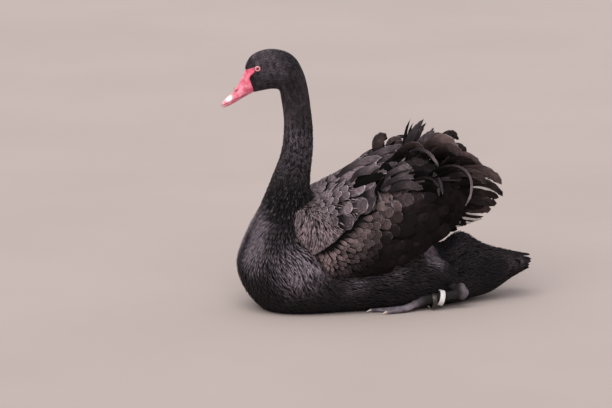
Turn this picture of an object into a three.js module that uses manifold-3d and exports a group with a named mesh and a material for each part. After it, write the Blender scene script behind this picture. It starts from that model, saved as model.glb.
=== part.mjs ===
// Black swan (Cygnus atratus), full grown, at rest on its belly with the neck raised and the
// curled inner wing feathers lifted. Still, life-size model.
// Millimetres, +Z up, floor at z = 0. The bill points to -X and the bird's left side is -Y.
import * as THREE from 'three';
import Module from 'manifold-3d';
import { mergeVertices } from 'three/addons/utils/BufferGeometryUtils.js';

const wasm = await Module();
wasm.setup();

const GAP = 0.3;                   // clear space between neighbouring pieces
const LEFT = -1;
const RIGHT = 1;

// ---- head, neck, trunk and tail: one lofted body, parted by thin cuts ----------------------
// Each station is a slanted section from the back line to the belly line:
// back x, back z, belly x, belly z, half width.
const BODY = [
  [-257, 457, -242, 416, 15.5],    // bill base
  [-253, 472, -234, 417, 18.5],    // forehead
  [-241, 487, -223, 419, 22.5],    // eyes
  [-207, 496, -203, 421, 27.5],    // crown
  [-168, 484, -192, 418, 27],      // nape
  [-146, 450, -187, 399, 25.5],    // throat
  [-131, 367, -182, 352, 24.5],    // thin part of the neck
  [-129, 305, -188, 300, 27],
  [-130, 255, -206, 256, 38],      // neck base
  [-125, 228, -230, 199, 58],
  [-114, 217, -257, 139, 84],      // crop
  [-97, 213, -273, 80, 97],        // breast
  [-73, 217, -248, 22, 104],
  [-45, 226, -203, -10, 109],
  [5, 233, -60, -12, 115],          // widest part of the trunk
  [40, 221, 15, -12, 112],
  [70, 190, 65, -11, 98],
  [93, 150, 100, -9, 82],
  [113, 120, 125, -6, 74],         // rump
  [158, 131, 167, 2, 62],          // ruffled tail coverts
  [200, 107, 215, 15, 50],
  [258, 89, 258, 43, 40],
  [301, 81, 288, 58, 37],          // tail tip
];
const BODY_SIDES = 16;             // facets round a section
const HALF_STEPS_TO = 14;          // there is also a section halfway between stations up to here
const PEAR = 0.6;                  // how far the trunk's widest line drops below half height
const PEAR_FROM = 8;               // stations over which the section turns from oval to pear
const PEAR_TO = 11;
const HEAD_END = 5.4;              // cuts, in stations
const NECK_MIDDLE = 6.8;
const NECK_END = 8;
const TRUNK_END = 19;
const CUT = 0.008;                 // width of a cut
const THIGH = { centre: [94, 62, 68], radii: [48, 25, 27], tilt: 24 };

// ---- wings ---------------------------------------------------------------------------------
// A folded wing is a shell arched over the back and flank. Stations along the body:
// x, crest z, lower edge z, crest y, greatest y.
const WING = [
  [-158, 182, 150, 82, 98],
  [-142, 200, 118, 70, 114],
  [-116, 216, 88, 56, 126],
  [-87, 231, 85, 50, 135],
  [-40, 254, 95, 46, 142],
  [5, 280, 107, 46, 143],
  [45, 290, 122, 48, 139],
  [85, 279, 141, 52, 129],
  [120, 252, 156, 58, 114],
  [145, 224, 190, 66, 100],
];
const ARCH = { from: 158, to: -30 };   // the shell's arc over its crest, in degrees
// Fall from the crest to the midplane: shallow in front of one x, deep behind another.
const ARCH_DROP = { front: 12, rear: 32, from: 50, to: 125 };
const ARCH_EDGE = 2.5;             // the inner edge's distance from the midplane
const ARCH_STEPS = 9;
const WING_SECTIONS = 11;
const WING_WALL = { top: 7, middle: 9.5, low: 8 };
const WING_WALL_REAR = 0.6;        // share of the wall that is left at the rear end

// Curled inner flight feathers, a fan round a point in the wing's rear half. Each has the place of
// its root on the wing (share of its length, degrees on its arc), the angle of its tip above the
// rear, the tip's reach and y, the vane's width and its roll out of the upright.
const FAN_CENTRE = [60, 230];
const FAN_CURL = 12;               // a feather's middle leans this many degrees further forward
const PLUMES = [
  [0.52, 88, 119, 99, 56, 32, 15],
  [0.60, 80, 105, 80, 60, 32, 30],
  [0.64, 96, 87, 109, 50, 14, 10],
  [0.67, 84, 73, 113, 50, 32, 20],
  [0.71, 76, 59, 105, 52, 36, 35],
  [0.74, 92, 48, 116, 44, 32, -25],
  [0.78, 72, 39, 129, 52, 36, 30],
  [0.82, 60, 27, 124, 58, 36, 42],
  [0.85, 84, 17, 134, 48, 32, 45],
  [0.89, 50, 8, 132, 70, 36, 38],
  [0.92, 40, 0, 160, 78, 26, 42],
  [0.94, 26, -8, 153, 80, 30, 30],
  [0.95, 10, -14, 152, 82, 30, 25],
  [0.95, -6, -25, 137, 82, 24, 15],
];
const PLUME_THICK = 3.2;
const PLUME_SECTIONS = 4;

// White flight feathers, folded under the wing's rear and crossing low over the rump.
const PRIMARY = { root: [70, 62, 172], bow: [135, 58, 178], tip: [192, 34, 160], width: 26, thick: 4 };

// ---- shoulder feathers: a shield over the front of the wing --------------------------------
// Stations as for the wing, and the shield's outline in the side view.
const SHIELD = [
  [-188, 186, 166, 50, 64],
  [-176, 197, 145, 56, 86],
  [-158, 206, 122, 60, 107],
  [-130, 218, 92, 58, 129],
  [-87, 238, 78, 50, 142],
  [-40, 261, 88, 46, 149],
  [5, 287, 100, 46, 150],
  [48, 297, 115, 48, 146],
];
const SHIELD_SECTIONS = 9;
const SHIELD_OUTLINE = [
  [-154, 218], [-178, 203], [-190, 180], [-176, 150], [-152, 123], [-117, 150], [-89, 176],
  [-62, 197], [-37, 222], [0, 242], [34, 262], [38, 292], [5, 304], [-40, 280], [-90, 252],
];

// ---- bill and eyes -------------------------------------------------------------------------
// Stations from the base to the tip: ridge x, ridge z, underside x, underside z, half width.
const BILL = [
  [-253, 452, -241.5, 419, 13],    // root, let into the head
  [-257, 457, -242, 416, 15.5],
  [-265, 441.5, -251, 411.5, 14],
  [-273.5, 427, -262, 406, 12.8],
  [-284.5, 413, -275, 399, 12.2],
  [-294, 405, -287, 393, 11],
  [-300.3, 398.3, -295.5, 389.6, 8],
  [-302, 393, -299.6, 388.8, 3.5],
];
const BILL_SIDES = 12;
const BILL_STEP = 1;
const MOUTH_LINE = [[-236, 427], [-263, 413.5], [-283, 404.5], [-306, 391.5]];
const NAIL_LINE = [[-285, 418], [-293.5, 396], [-297, 384]];
const LORES = [[-263, 452], [-258, 462], [-240, 465.5], [-240, 457], [-251, 446]];
const NOSTRIL = { centre: [-275, 11.2, 420.5], radii: [5.2, 2.2, 2.1], tilt: 40 };
const EYE = { centre: [-236, 15.6, 463], radius: 7.4, facets: [10, 6] };

// ---- legs, feet and rings ------------------------------------------------------------------
const KNEE = [94, 70, 60];
const HEEL = [143, 87, 31];
const TOE_BASE = [62, 89, 20];
const SHANK_RADII = [15, 9.5];
const TARSUS_RADII = [8, 9];       // half width and half depth
const HEEL_RADII = [14, 10.5, 12.5];
const PALM = [54, 89, 16];
const PALM_RADII = [13, 10, 8];
// Toe: name, the points from the palm to the nail bed, the claw's tip, radius at root and tip.
const TOES = [
  ['outer', [[52, 92, 17], [30, 98, 8], [-8, 104, 5]], [-18, 105, 1.5], 6.5, 4.2],
  ['middle', [[52, 89, 17], [30, 89, 8], [-32, 81, 5]], [-43, 79, 1.5], 6.5, 4.2],
  ['inner', [[52, 86, 17], [32, 80, 8], [-20, 62, 5]], [-30, 58.5, 1.5], 6, 4],
  ['hind', [[58, 84, 13], [66, 80, 9], [74, 77, 6]], [80, 75, 2.5], 4.2, 3],
];
const WEB_THICK = 2.4;
const WEB_EDGE = 0.8;              // how far along the toes the web reaches
const CLAW_BED = 0.8;              // share of the toe's tip radius at the claw's root
const BAND = { along: 0.56, inner: 12.6, outer: 14.8, length: 9.5, lean: 20 };
const RING_FACETS = 14;
const RING = { along: 0.74, inner: 13.4, outer: 15, length: 8.5, lean: 8 };

const MATERIALS = {
  plumage: material(0x2b2427, 0.8),
  neckPlumage: material(0x2a2328, 0.75),
  wingPlumage: material(0x45383b, 0.75),
  shoulderPlumage: material(0x5a4c50, 0.8),
  flightFeather: material(0xe8e4e0, 0.7),
  bill: material(0xd8495f, 0.4),
  nail: material(0xe9a9a6, 0.4),
  eye: material(0x3a0d0c, 0.1),
  legSkin: material(0x4a4448, 0.6),
  claw: material(0xc9b5ae, 0.5),
  whitePlastic: material(0xece8e6, 0.45),
  ringMetal: material(0x7b736e, 0.4, 0.9),
};

function material(color, roughness, metalness = 0) {
  return new THREE.MeshStandardMaterial({ color, roughness, metalness });
}

// ---- shared shape code ---------------------------------------------------------------------
const radians = THREE.MathUtils.degToRad;
const mix = THREE.MathUtils.lerp;
const range = (count) => Array.from({ length: count }, (_, i) => i);
const onSide = (side, [x, y, z]) => new THREE.Vector3(x, side * y, z);

/** A closed solid through rings of points, with a fan over each end. */
function loft(rings) {
  const sides = rings[0].length;
  const positions = rings.flat().concat(middle(rings[0]), middle(rings.at(-1)));
  const firstHub = rings.length * sides;
  const faces = [];
  for (let k = 0; k < sides; k++) {
    const next = (k + 1) % sides;
    for (let i = 0; i + 1 < rings.length; i++) {
      const low = i * sides;
      const high = low + sides;
      faces.push(low + k, low + next, high + next, low + k, high + next, high + k);
    }
    const last = (rings.length - 1) * sides;
    faces.push(firstHub, next, k, firstHub + 1, last + k, last + next);
  }
  const geometry = new THREE.BufferGeometry().setFromPoints(positions);
  geometry.setIndex(faces);
  return solid(geometry);
}

function middle(ring) {
  return ring.reduce((sum, p) => sum.add(p), new THREE.Vector3()).divideScalar(ring.length);
}

/** A manifold solid from closed geometry, turned to face outwards. */
function solid(geometry) {
  const bare = geometry.clone();
  bare.deleteAttribute('normal');
  bare.deleteAttribute('uv');
  const merged = mergeVertices(bare, 1e-4);
  const vertProperties = new Float32Array(merged.attributes.position.array);
  const triVerts = new Uint32Array(merged.index.array);
  if (signedVolume(vertProperties, triVerts) < 0) triVerts.reverse();
  return new wasm.Manifold(new wasm.Mesh({ numProp: 3, vertProperties, triVerts }));
}

function signedVolume(xyz, triangles) {
  let sixfold = 0;
  const corner = (i) => new THREE.Vector3().fromArray(xyz, 3 * triangles[i]);
  for (let i = 0; i < triangles.length; i += 3) {
    sixfold += corner(i).dot(corner(i + 1).cross(corner(i + 2)));
  }
  return sixfold / 6;
}

/** A tapering round limb along a curve; radii run from its start to its end. */
function limb(curve, radii, { flat = 1, sides = 8, sections = 7, floor = -Infinity } = {}) {
  const rings = range(sections).map((i) => {
    const t = i / (sections - 1);
    const centre = curve.getPoint(t);
    const along = curve.getTangent(t);
    const across = new THREE.Vector3(-along.y, along.x, 0).normalize();
    const up = new THREE.Vector3().crossVectors(along, across);
    const radius = mix(radii[0], radii[1], t);
    return range(sides).map((k) => {
      const angle = (2 * Math.PI * k) / sides;
      const point = centre.clone()
        .addScaledVector(across, radius * flat * Math.cos(angle))
        .addScaledVector(up, radius * Math.sin(angle));
      point.z = Math.max(point.z, floor);
      return point;
    });
  });
  return loft(rings);
}

function ellipsoid(centre, radii, tilt = 0, segments = [12, 8]) {
  const geometry = new THREE.SphereGeometry(1, ...segments);
  geometry.rotateX(Math.PI / 2).scale(...radii).rotateY(radians(tilt)).translate(...centre);
  return solid(geometry);
}

/** An outline in the side view, extruded right across the bird or over one side of it. */
function sidePrism(outline, nearY, farY, curved = false) {
  const points = outline.map(([x, z]) => new THREE.Vector2(x, z));
  const shape = curved
    ? new THREE.Shape(new THREE.SplineCurve([...points, points[0]]).getPoints(2 * points.length))
    : new THREE.Shape(points);
  const geometry = new THREE.ExtrudeGeometry(shape, { depth: farY - nearY, bevelEnabled: false });
  geometry.rotateX(Math.PI / 2).translate(0, farY, 0);
  return solid(geometry);
}

function tableCurves(rows) {
  const upper = rows.map(([x, z, , , half]) => new THREE.Vector3(x, half, z));
  const lower = rows.map(([, , x, z]) => new THREE.Vector3(x, 0, z));
  return [new THREE.CatmullRomCurve3(upper, false, 'centripetal'),
    new THREE.CatmullRomCurve3(lower, false, 'centripetal')];
}

/** One oval section between the upper and the lower line, its half width carried in upper.y. */
function ovalRing([upper, lower], share, sides, { grow = 0, pear = 1, floor = -Infinity }) {
  const top = upper.getPoint(share);
  const half = top.y + grow;
  top.y = 0;
  const down = lower.getPoint(share).sub(top);
  const reach = down.clone().setLength(grow);
  top.sub(reach);
  down.addScaledVector(reach, 2);
  return range(sides).map((k) => {
    const angle = (2 * Math.PI * k) / sides;
    const fall = (1 - Math.cos(angle)) / 2;
    const round = fall ** pear;
    const point = top.clone().addScaledVector(down, fall);
    point.y = Math.sign(Math.sin(angle)) * half * Math.sqrt(Math.max(0, 4 * round * (1 - round)));
    point.z = Math.max(point.z, floor);
    return point;
  });
}

// ---- body ----------------------------------------------------------------------------------
const bodyCurves = tableCurves(BODY);

function bodyLoft(from, to, grow = 0) {
  const between = range(Math.ceil(2 * to)).map((i) => i / 2)
    .filter((station) => station > from + CUT)
    .filter((station) => station < HALF_STEPS_TO || Number.isInteger(station));
  const stations = [from, ...between, to];
  const rings = stations.map((station) => {
    const pear = 1 + PEAR * THREE.MathUtils.smoothstep(station, PEAR_FROM, PEAR_TO);
    const share = station / (BODY.length - 1);
    return ovalRing(bodyCurves, share, BODY_SIDES, { grow, pear, floor: -grow });
  });
  return loft(rings);
}

// ---- wings ---------------------------------------------------------------------------------
const shellCurves = (rows) => [1, 2, 3, 4].map((column) => new THREE.CatmullRomCurve3(
  rows.map((row) => new THREE.Vector3(row[0], row[column], 0)), false, 'centripetal'));
const wingCurves = shellCurves(WING);
const shieldCurves = shellCurves(SHIELD);

/** Point on a shell's outer arc, moved inwards by depth: a tall quarter oval outside the crest
 *  and a low one that falls to the midplane inside it. */
function archPoint(curves, side, share, degrees, depth) {
  const [{ x, y: crest }, { y: low }, { y: crestY }, { y: bulge }] = curves.map((c) => c.getPoint(share));
  const tall = (crest - low) / (1 - Math.sin(radians(ARCH.to)));
  const outside = degrees < 90;
  const rearward = THREE.MathUtils.smoothstep(x, ARCH_DROP.from, ARCH_DROP.to);
  const rise = outside ? tall : mix(ARCH_DROP.front, ARCH_DROP.rear, rearward);
  const reach = outside ? bulge - crestY : crestY - ARCH_EDGE;
  const y = crestY + (reach - depth) * Math.cos(radians(degrees));
  const z = crest - rise + (rise - depth) * Math.sin(radians(degrees));
  return new THREE.Vector3(x, side * Math.max(y, ARCH_EDGE), z);
}

function wingWall(share, degrees) {
  const { top, middle: mid, low } = WING_WALL;
  const fall = (90 - degrees) / (90 - ARCH.to);
  const wall = fall < 0 ? top : fall < 0.5 ? mix(top, mid, fall * 2) : mix(mid, low, fall * 2 - 1);
  return wall * mix(1, WING_WALL_REAR, THREE.MathUtils.smoothstep(share, 0.55, 1));
}

/** A shell through the arcs of a table, as a wall or filled to a plane beside the midplane. */
function archLoft(curves, side, sections, { grow = 0, filledTo = null }) {
  const arcs = range(ARCH_STEPS + 1).map((k) => mix(ARCH.from, ARCH.to, k / ARCH_STEPS));
  const rings = range(sections).map((i) => {
    const share = i / (sections - 1);
    const ends = share === 0 ? -grow : share === 1 ? grow : 0;
    const outer = arcs.map((degrees) => archPoint(curves, side, share, degrees, -grow)
      .add(new THREE.Vector3(ends, 0, 0)));
    const inner = arcs.map((degrees, k) => {
      if (filledTo === null) return archPoint(curves, side, share, degrees, wingWall(share, degrees));
      const height = mix(outer[0].z, outer.at(-1).z, k / ARCH_STEPS);
      return new THREE.Vector3(outer[0].x, side * filledTo, height);
    });
    return [...outer, ...inner.reverse()];
  });
  return loft(rings);
}

/** One curled feather of the fan: a lens-shaped blade along a bent line. */
function plume(side, [share, degrees, tipAngle, reach, tipY, width, roll]) {
  const root = archPoint(wingCurves, side, share, degrees, wingWall(share, degrees) / 2);
  const at = (angle, radius, y) => onSide(side, [
    FAN_CENTRE[0] + radius * Math.cos(radians(angle)),
    y,
    FAN_CENTRE[1] + radius * Math.sin(radians(angle)),
  ]);
  const bow = at(tipAngle + FAN_CURL, reach * 0.78, mix(tipY, Math.abs(root.y), 0.5));
  const line = new THREE.QuadraticBezierCurve3(root, bow, at(tipAngle, reach, tipY));
  return blade(line, width, PLUME_THICK, side * radians(roll));
}

function blade(line, width, thick, roll = 0) {
  const rings = range(PLUME_SECTIONS).map((i) => {
    const t = i / (PLUME_SECTIONS - 1);
    const centre = line.getPoint(t);
    const along = line.getTangent(t);
    const face = new THREE.Vector3(-along.z, 0, along.x).normalize().applyAxisAngle(along, roll);
    const flat = new THREE.Vector3().crossVectors(along, face);
    const halfWidth = (width / 2) * (0.55 + 0.75 * t - 1.12 * t ** 4);
    const halfThick = (thick / 2) * (1 - 0.7 * t);
    return [[1, 0], [0, 1], [-1, 0], [0, -1]].map(([w, h]) => centre.clone()
      .addScaledVector(face, w * halfWidth).addScaledVector(flat, h * halfThick));
  });
  return loft(rings);
}

function wing(side, bodyGrown) {
  const shell = archLoft(wingCurves, side, WING_SECTIONS, {});
  return PLUMES.reduce((whole, row) => whole.add(plume(side, row)), shell).subtract(bodyGrown);
}

function primaries(side, neighbours) {
  const line = new THREE.QuadraticBezierCurve3(
    onSide(side, PRIMARY.root), onSide(side, PRIMARY.bow), onSide(side, PRIMARY.tip));
  const vane = blade(line, PRIMARY.width, PRIMARY.thick);
  return neighbours.reduce((rest, cutter) => rest.subtract(cutter), vane);
}

function shoulder(side, bodyGrown) {
  const near = side === LEFT ? -180 : 0;
  return archLoft(shieldCurves, side, SHIELD_SECTIONS, { filledTo: ARCH_EDGE })
    .intersect(sidePrism(SHIELD_OUTLINE, near, near + 180, true))
    .subtract(bodyGrown)
    .subtract(archLoft(wingCurves, side, WING_SECTIONS, { grow: GAP, filledTo: -10 }));
}

// ---- bill and eyes -------------------------------------------------------------------------
const billCurves = tableCurves(BILL);

function billLoft(grow = 0) {
  const steps = (BILL.length - 1) / BILL_STEP;
  return loft(range(steps + 1).map((i) => ovalRing(billCurves, i / steps, BILL_SIDES, { grow })));
}

/** Everything on one side of a line in the side view, as a prism right across the bill. */
function halfSpace(line, awayX, awayZ, shift) {
  const moved = line.map(([x, z]) => [x + shift[0], z + shift[1]]);
  const far = [...line].reverse().map(([x, z]) => [x + awayX, z + awayZ]);
  return sidePrism([...moved, ...far], -40, 40);
}

function buildBill(headSolid) {
  const whole = billLoft();
  const above = halfSpace(MOUTH_LINE, 25, 80, [0, GAP]);
  const below = halfSpace(MOUTH_LINE, -25, -80, [0, 0]);
  const tip = halfSpace(NAIL_LINE, -60, 0, [0, 0]);
  const tipGrown = halfSpace(NAIL_LINE, -60, 0, [GAP, 0]);
  const nostrils = [LEFT, RIGHT].map((side) => ellipsoid(
    onSide(side, NOSTRIL.centre).toArray(), NOSTRIL.radii, NOSTRIL.tilt, [8, 5]));
  const lores = headSolid.intersect(sidePrism(LORES, -40, 40));
  const upper = nostrils.reduce((rest, dent) => rest.subtract(dent),
    whole.intersect(above).subtract(tipGrown).add(lores));
  return {
    upper,
    lower: whole.intersect(below).subtract(tipGrown),
    nail: whole.intersect(tip),
  };
}

// ---- legs ----------------------------------------------------------------------------------
function straight(side, from, to) {
  return new THREE.LineCurve3(onSide(side, from), onSide(side, to));
}

function legSolid(side, grow = 0) {
  const shank = limb(straight(side, KNEE, HEEL), SHANK_RADII.map((r) => r + grow), { sections: 2 });
  const tarsus = limb(straight(side, HEEL, TOE_BASE), TARSUS_RADII.map((r) => r + grow),
    { flat: 0.85, sections: 2 });
  const heel = ellipsoid(onSide(side, HEEL).toArray(), HEEL_RADII.map((r) => r + grow), 0, [8, 6]);
  return shank.add(tarsus).add(heel);
}

function toeCurve(side, points) {
  return new THREE.CatmullRomCurve3(points.map((p) => onSide(side, p)));
}

/** The web between the front toes, a thin sheet from the palm to near the toes' tips. */
function web(side, grow) {
  const edge = TOES.slice(0, 3).map(([, points]) => toeCurve(side, points).getPoint(WEB_EDGE));
  const root = onSide(side, TOES[1][1][1]);
  const outline = [root, ...edge].map((p) => new THREE.Vector2(p.x, p.y));
  const geometry = new THREE.ExtrudeGeometry(new THREE.Shape(outline), {
    depth: WEB_THICK + grow, bevelEnabled: false,
  });
  return solid(geometry.translate(0, 0, 1));
}

function footSolid(side, grow = 0) {
  const palm = ellipsoid(onSide(side, PALM).toArray(), PALM_RADII.map((r) => r + grow), 30, [8, 5]);
  const toes = TOES.map(([, points, , root, tip]) => limb(
    toeCurve(side, points), [root + grow, tip + grow], { sides: 6, sections: 4, floor: -grow }));
  return toes.reduce((whole, toe) => whole.add(toe), palm.add(web(side, grow)));
}

/** A short curved claw that grows out of the toe's tip. */
function clawSolid(side, [, points, tip, , tipRadius], grow = 0) {
  const root = onSide(side, points.at(-1));
  const end = onSide(side, tip);
  const bend = root.clone().lerp(end, 0.55).setZ(root.z + 0.8);
  const curve = new THREE.QuadraticBezierCurve3(root, bend, end);
  const radii = [CLAW_BED * tipRadius, 0.7].map((r) => r + grow);
  return limb(curve, radii, { sides: 6, sections: 4, floor: -grow });
}

/** A ring that hangs loose on the tarsus, its top leaning back by some degrees and its inner top
 *  resting just above the skin, or the filled round room that it takes up. */
function looseRing({ along, inner, outer, length, lean }, filled = false) {
  const heel = onSide(LEFT, HEEL);
  const toe = onSide(LEFT, TOE_BASE);
  const turn = THREE.MathUtils.degToRad(lean);
  const axis = toe.clone().sub(heel).normalize().applyAxisAngle(new THREE.Vector3(0, 1, 0), turn);
  const skin = mix(TARSUS_RADII[0], TARSUS_RADII[1], along);
  const centre = heel.lerp(toe, along);
  centre.z -= inner * Math.cos(turn) - length / 2 * Math.sin(turn) - skin - 2 * GAP;
  const grow = filled ? GAP : 0;
  const half = length / 2 + grow;
  const [from, to] = [filled ? 0 : inner, outer + grow];
  const profile = [[from, -half], [to, -half], [to, half], [from, half]];
  if (!filled) profile.push(profile[0]);
  const geometry = new THREE.LatheGeometry(profile.map(([r, h]) => new THREE.Vector2(r, h)), RING_FACETS);
  geometry.applyQuaternion(new THREE.Quaternion().setFromUnitVectors(new THREE.Vector3(0, 1, 0), axis));
  return solid(geometry.translate(centre.x, centre.y, centre.z));
}

// ---- the whole bird ------------------------------------------------------------------------
const swan = new THREE.Group();

function addNode(name, shape, look) {
  const { vertProperties, triVerts } = shape.getMesh();
  const geometry = new THREE.BufferGeometry();
  geometry.setAttribute('position', new THREE.BufferAttribute(vertProperties, 3));
  geometry.setIndex(new THREE.BufferAttribute(triVerts, 1));
  geometry.computeVertexNormals();
  const mesh = new THREE.Mesh(geometry, look);
  mesh.name = name;
  swan.add(mesh);
}

const bodyGrown = bodyLoft(0, BODY.length - 1, GAP);
let trunk = bodyLoft(NECK_END + CUT, TRUNK_END);
for (const side of [LEFT, RIGHT]) {
  trunk = trunk.add(ellipsoid(onSide(side, THIGH.centre).toArray(), THIGH.radii, THIGH.tilt));
}
let trunkGrown = bodyGrown;
for (const side of [LEFT, RIGHT]) {
  trunkGrown = trunkGrown.add(ellipsoid(
    onSide(side, THIGH.centre).toArray(), THIGH.radii.map((r) => r + GAP), THIGH.tilt));
}

const fullHead = bodyLoft(0, HEAD_END);
const bill = buildBill(fullHead);
let head = fullHead.subtract(sidePrism(LORES, -40, 40)).subtract(billLoft(GAP));
const tailShape = bodyLoft(TRUNK_END + CUT, BODY.length - 1);

for (const [name, side] of [['left', LEFT], ['right', RIGHT]]) {
  const centre = onSide(side, EYE.centre).toArray();
  const socket = ellipsoid(centre, Array(3).fill(EYE.radius + GAP), 0, EYE.facets);
  head = head.subtract(socket);
  bill.upper = bill.upper.subtract(socket);
  addNode(`eye_${name}`, ellipsoid(centre, Array(3).fill(EYE.radius), 0, EYE.facets), MATERIALS.eye);
}
addNode('head', head, MATERIALS.plumage);
addNode('neck_upper', bodyLoft(HEAD_END + CUT, NECK_MIDDLE), MATERIALS.neckPlumage);
addNode('neck_lower', bodyLoft(NECK_MIDDLE + CUT, NECK_END), MATERIALS.neckPlumage);
addNode('bill_upper', bill.upper, MATERIALS.bill);
addNode('bill_lower', bill.lower, MATERIALS.bill);
addNode('bill_nail', bill.nail, MATERIALS.nail);

let tail = tailShape;
for (const [name, side] of [['left', LEFT], ['right', RIGHT]]) {
  const wingShape = wing(side, trunkGrown);
  const shoulderShape = shoulder(side, trunkGrown);
  addNode(`wing_${name}`, wingShape, MATERIALS.wingPlumage);
  addNode(`shoulder_${name}`, shoulderShape.subtract(wingShape), MATERIALS.shoulderPlumage);
  addNode(`primaries_${name}`, primaries(side, [wingShape, trunkGrown]), MATERIALS.flightFeather);

  const legGrown = legSolid(side, GAP);
  const footGrown = footSolid(side, GAP);
  const foot = footSolid(side).subtract(legGrown);
  trunk = trunk.subtract(legGrown).subtract(footGrown);
  tail = tail.subtract(legGrown);
  addNode(`leg_${name}`, legSolid(side), MATERIALS.legSkin);
  addNode(`foot_${name}`, foot, MATERIALS.legSkin);
  for (const toe of TOES) {
    addNode(`claw_${name}_${toe[0]}`, clawSolid(side, toe).subtract(footGrown), MATERIALS.claw);
    trunk = trunk.subtract(clawSolid(side, toe, GAP));
  }
}
for (const ring of [BAND, RING]) trunk = trunk.subtract(looseRing(ring, true));
addNode('trunk', trunk, MATERIALS.plumage);
addNode('tail', tail, MATERIALS.plumage);
addNode('leg_band', looseRing(BAND), MATERIALS.whitePlastic);
addNode('leg_ring', looseRing(RING), MATERIALS.ringMetal);

export default swan;
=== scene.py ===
"""Black swan (Cygnus atratus) at rest: plumage, bare parts and a plain stage, built round a
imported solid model. Metres, +Z up, floor at z = 0. The bill points to -X and the bird's left
side is -Y."""

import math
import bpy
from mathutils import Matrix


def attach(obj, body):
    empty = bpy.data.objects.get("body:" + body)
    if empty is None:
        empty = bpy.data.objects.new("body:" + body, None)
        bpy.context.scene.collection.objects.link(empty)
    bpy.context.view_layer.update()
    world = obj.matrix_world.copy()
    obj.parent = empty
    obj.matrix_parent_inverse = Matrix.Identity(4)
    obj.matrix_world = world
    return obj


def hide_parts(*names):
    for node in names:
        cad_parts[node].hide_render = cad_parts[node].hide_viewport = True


bl_info = {
    "name": "Black Swan at Rest",
    "version": (1, 0, 0),
    "blender": (4, 5, 0),
    "location": "View3D > Sidebar > Swan",
    "description": "Feathers, bill, eyes, feet and stage of a resting black swan",
    "category": "Add Mesh",
}

import bpy
import numpy as np
from mathutils import Matrix, Vector

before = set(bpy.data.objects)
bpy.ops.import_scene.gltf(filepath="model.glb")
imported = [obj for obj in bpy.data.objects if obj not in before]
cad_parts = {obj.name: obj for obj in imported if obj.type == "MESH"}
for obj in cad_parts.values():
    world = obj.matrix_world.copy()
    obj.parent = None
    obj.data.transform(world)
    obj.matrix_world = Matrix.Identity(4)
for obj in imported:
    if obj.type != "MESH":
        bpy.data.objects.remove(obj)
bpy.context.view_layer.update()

MM = 0.001
LEFT, RIGHT = -1, 1
SIDES = (("left", LEFT), ("right", RIGHT))
ROOT_BODY = "root"

# ---- the bird's shape, in millimetres until it is turned to metres ------------------------------
# Body stations: back x, back z, belly x, belly z, half width.
BODY = MM * np.array([
    [-257, 457, -242, 416, 15.5],    # bill base
    [-253, 472, -234, 417, 18.5],    # forehead
    [-241, 487, -223, 419, 22.5],    # eyes
    [-207, 496, -203, 421, 27.5],    # crown
    [-168, 484, -192, 418, 27],      # nape
    [-146, 450, -187, 399, 25.5],    # throat
    [-131, 367, -182, 352, 24.5],    # thin part of the neck
    [-129.5, 305, -187, 300, 27],
    [-135, 255, -203, 256, 38],      # neck base
    [-135, 228, -226, 199, 58],
    [-123, 217, -255, 139, 84],      # crop
    [-97, 213, -273, 80, 97],        # breast
    [-73, 217, -248, 22, 104],
    [-45, 226, -203, -10, 109],
    [5, 233, -60, -12, 115],          # widest part of the trunk
    [40, 221, 15, -12, 112],
    [70, 190, 65, -11, 98],
    [93, 144, 100, -9, 82],
    [113, 113, 125, -6, 74],         # rump
    [158, 131, 167, 2, 62],          # ruffled tail coverts
    [200, 107, 215, 15, 50],
    [258, 89, 258, 43, 40],
    [301, 81, 288, 58, 37],          # tail tip
])
LAST_STATION = len(BODY) - 1
SKIN_END = 21.3                       # the station where the flesh of the tail ends
CROWN = 3                             # the station where the bare face has ended
PEAR, PEAR_FROM, PEAR_TO = 0.6, 8, 11   # how much wider low down, and between which stations
FLOOR_GAP, SKIN_GAP = 0.6 * MM, 1.5 * MM      # least height of coat and skin over the floor
NECK_BASE = MM * np.array([-192, 48, 216])      # middle of the painted shadow with pale wisps
BREAST_SIDE = MM * np.array([-146, 98, 78])     # middle of the breast's loose hanging tufts
THIGH_CENTRE = MM * np.array([94, 62, 68])
THIGH_RADII = MM * np.array([48, 25, 27])
THIGH_TILT = math.radians(24)
# Stations, and angles round from the back line, that each coat of the body covers.
HEAD_RANGE, NECK_RANGE, BREAST_RANGE = (0.02, 5.6), (5.1, 9.3), (8.2, 13.9)
FLANK_RANGE, RUMP_RANGE = (13.2, 18.3), (16.4, 21.0)
ALL_ROUND, BREAST_ROUND, FLANK_ROUND = (
    (-math.pi, math.pi), (0.45, 2 * math.pi - 0.45), (0.5, 2 * math.pi - 0.5))
# Depth of the plumage over the skin, by station.
COAT_DEPTH = ([0, 4.5, 6, 8, 11, 19, LAST_STATION], MM * np.array([1.1, 1.4, 2.6, 3.6, 6, 5, 4]))

# Wing and shoulder shells: x, crest z, lower edge z, crest y, greatest y.
WING = MM * np.array([
    [-158, 182, 150, 82, 98],
    [-142, 200, 118, 70, 114],
    [-116, 216, 88, 56, 126],
    [-87, 231, 85, 50, 135],
    [-40, 254, 95, 46, 142],
    [5, 280, 107, 46, 143],
    [45, 290, 122, 48, 139],
    [85, 279, 141, 52, 129],
    [120, 252, 156, 58, 114],
    [145, 224, 190, 66, 100],
])
SHOULDER = MM * np.array([
    [-188, 186, 166, 50, 64],
    [-176, 197, 145, 56, 86],
    [-158, 204, 122, 60, 107],
    [-130, 216, 92, 58, 129],
    [-87, 237, 78, 50, 142],
    [-40, 261, 88, 46, 149],
    [5, 287, 100, 46, 150],
    [48, 297, 115, 48, 146],
])
ARCH_FROM, ARCH_TO = math.radians(158), math.radians(-30)     # angles of inner and lower edge
ARCH_DROP = ([50 * MM, 125 * MM], [12 * MM, 32 * MM])         # fall to the midplane, by x
ARCH_EDGE = 2.5 * MM                  # gap between the midplane and a wing's inner edge
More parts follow.
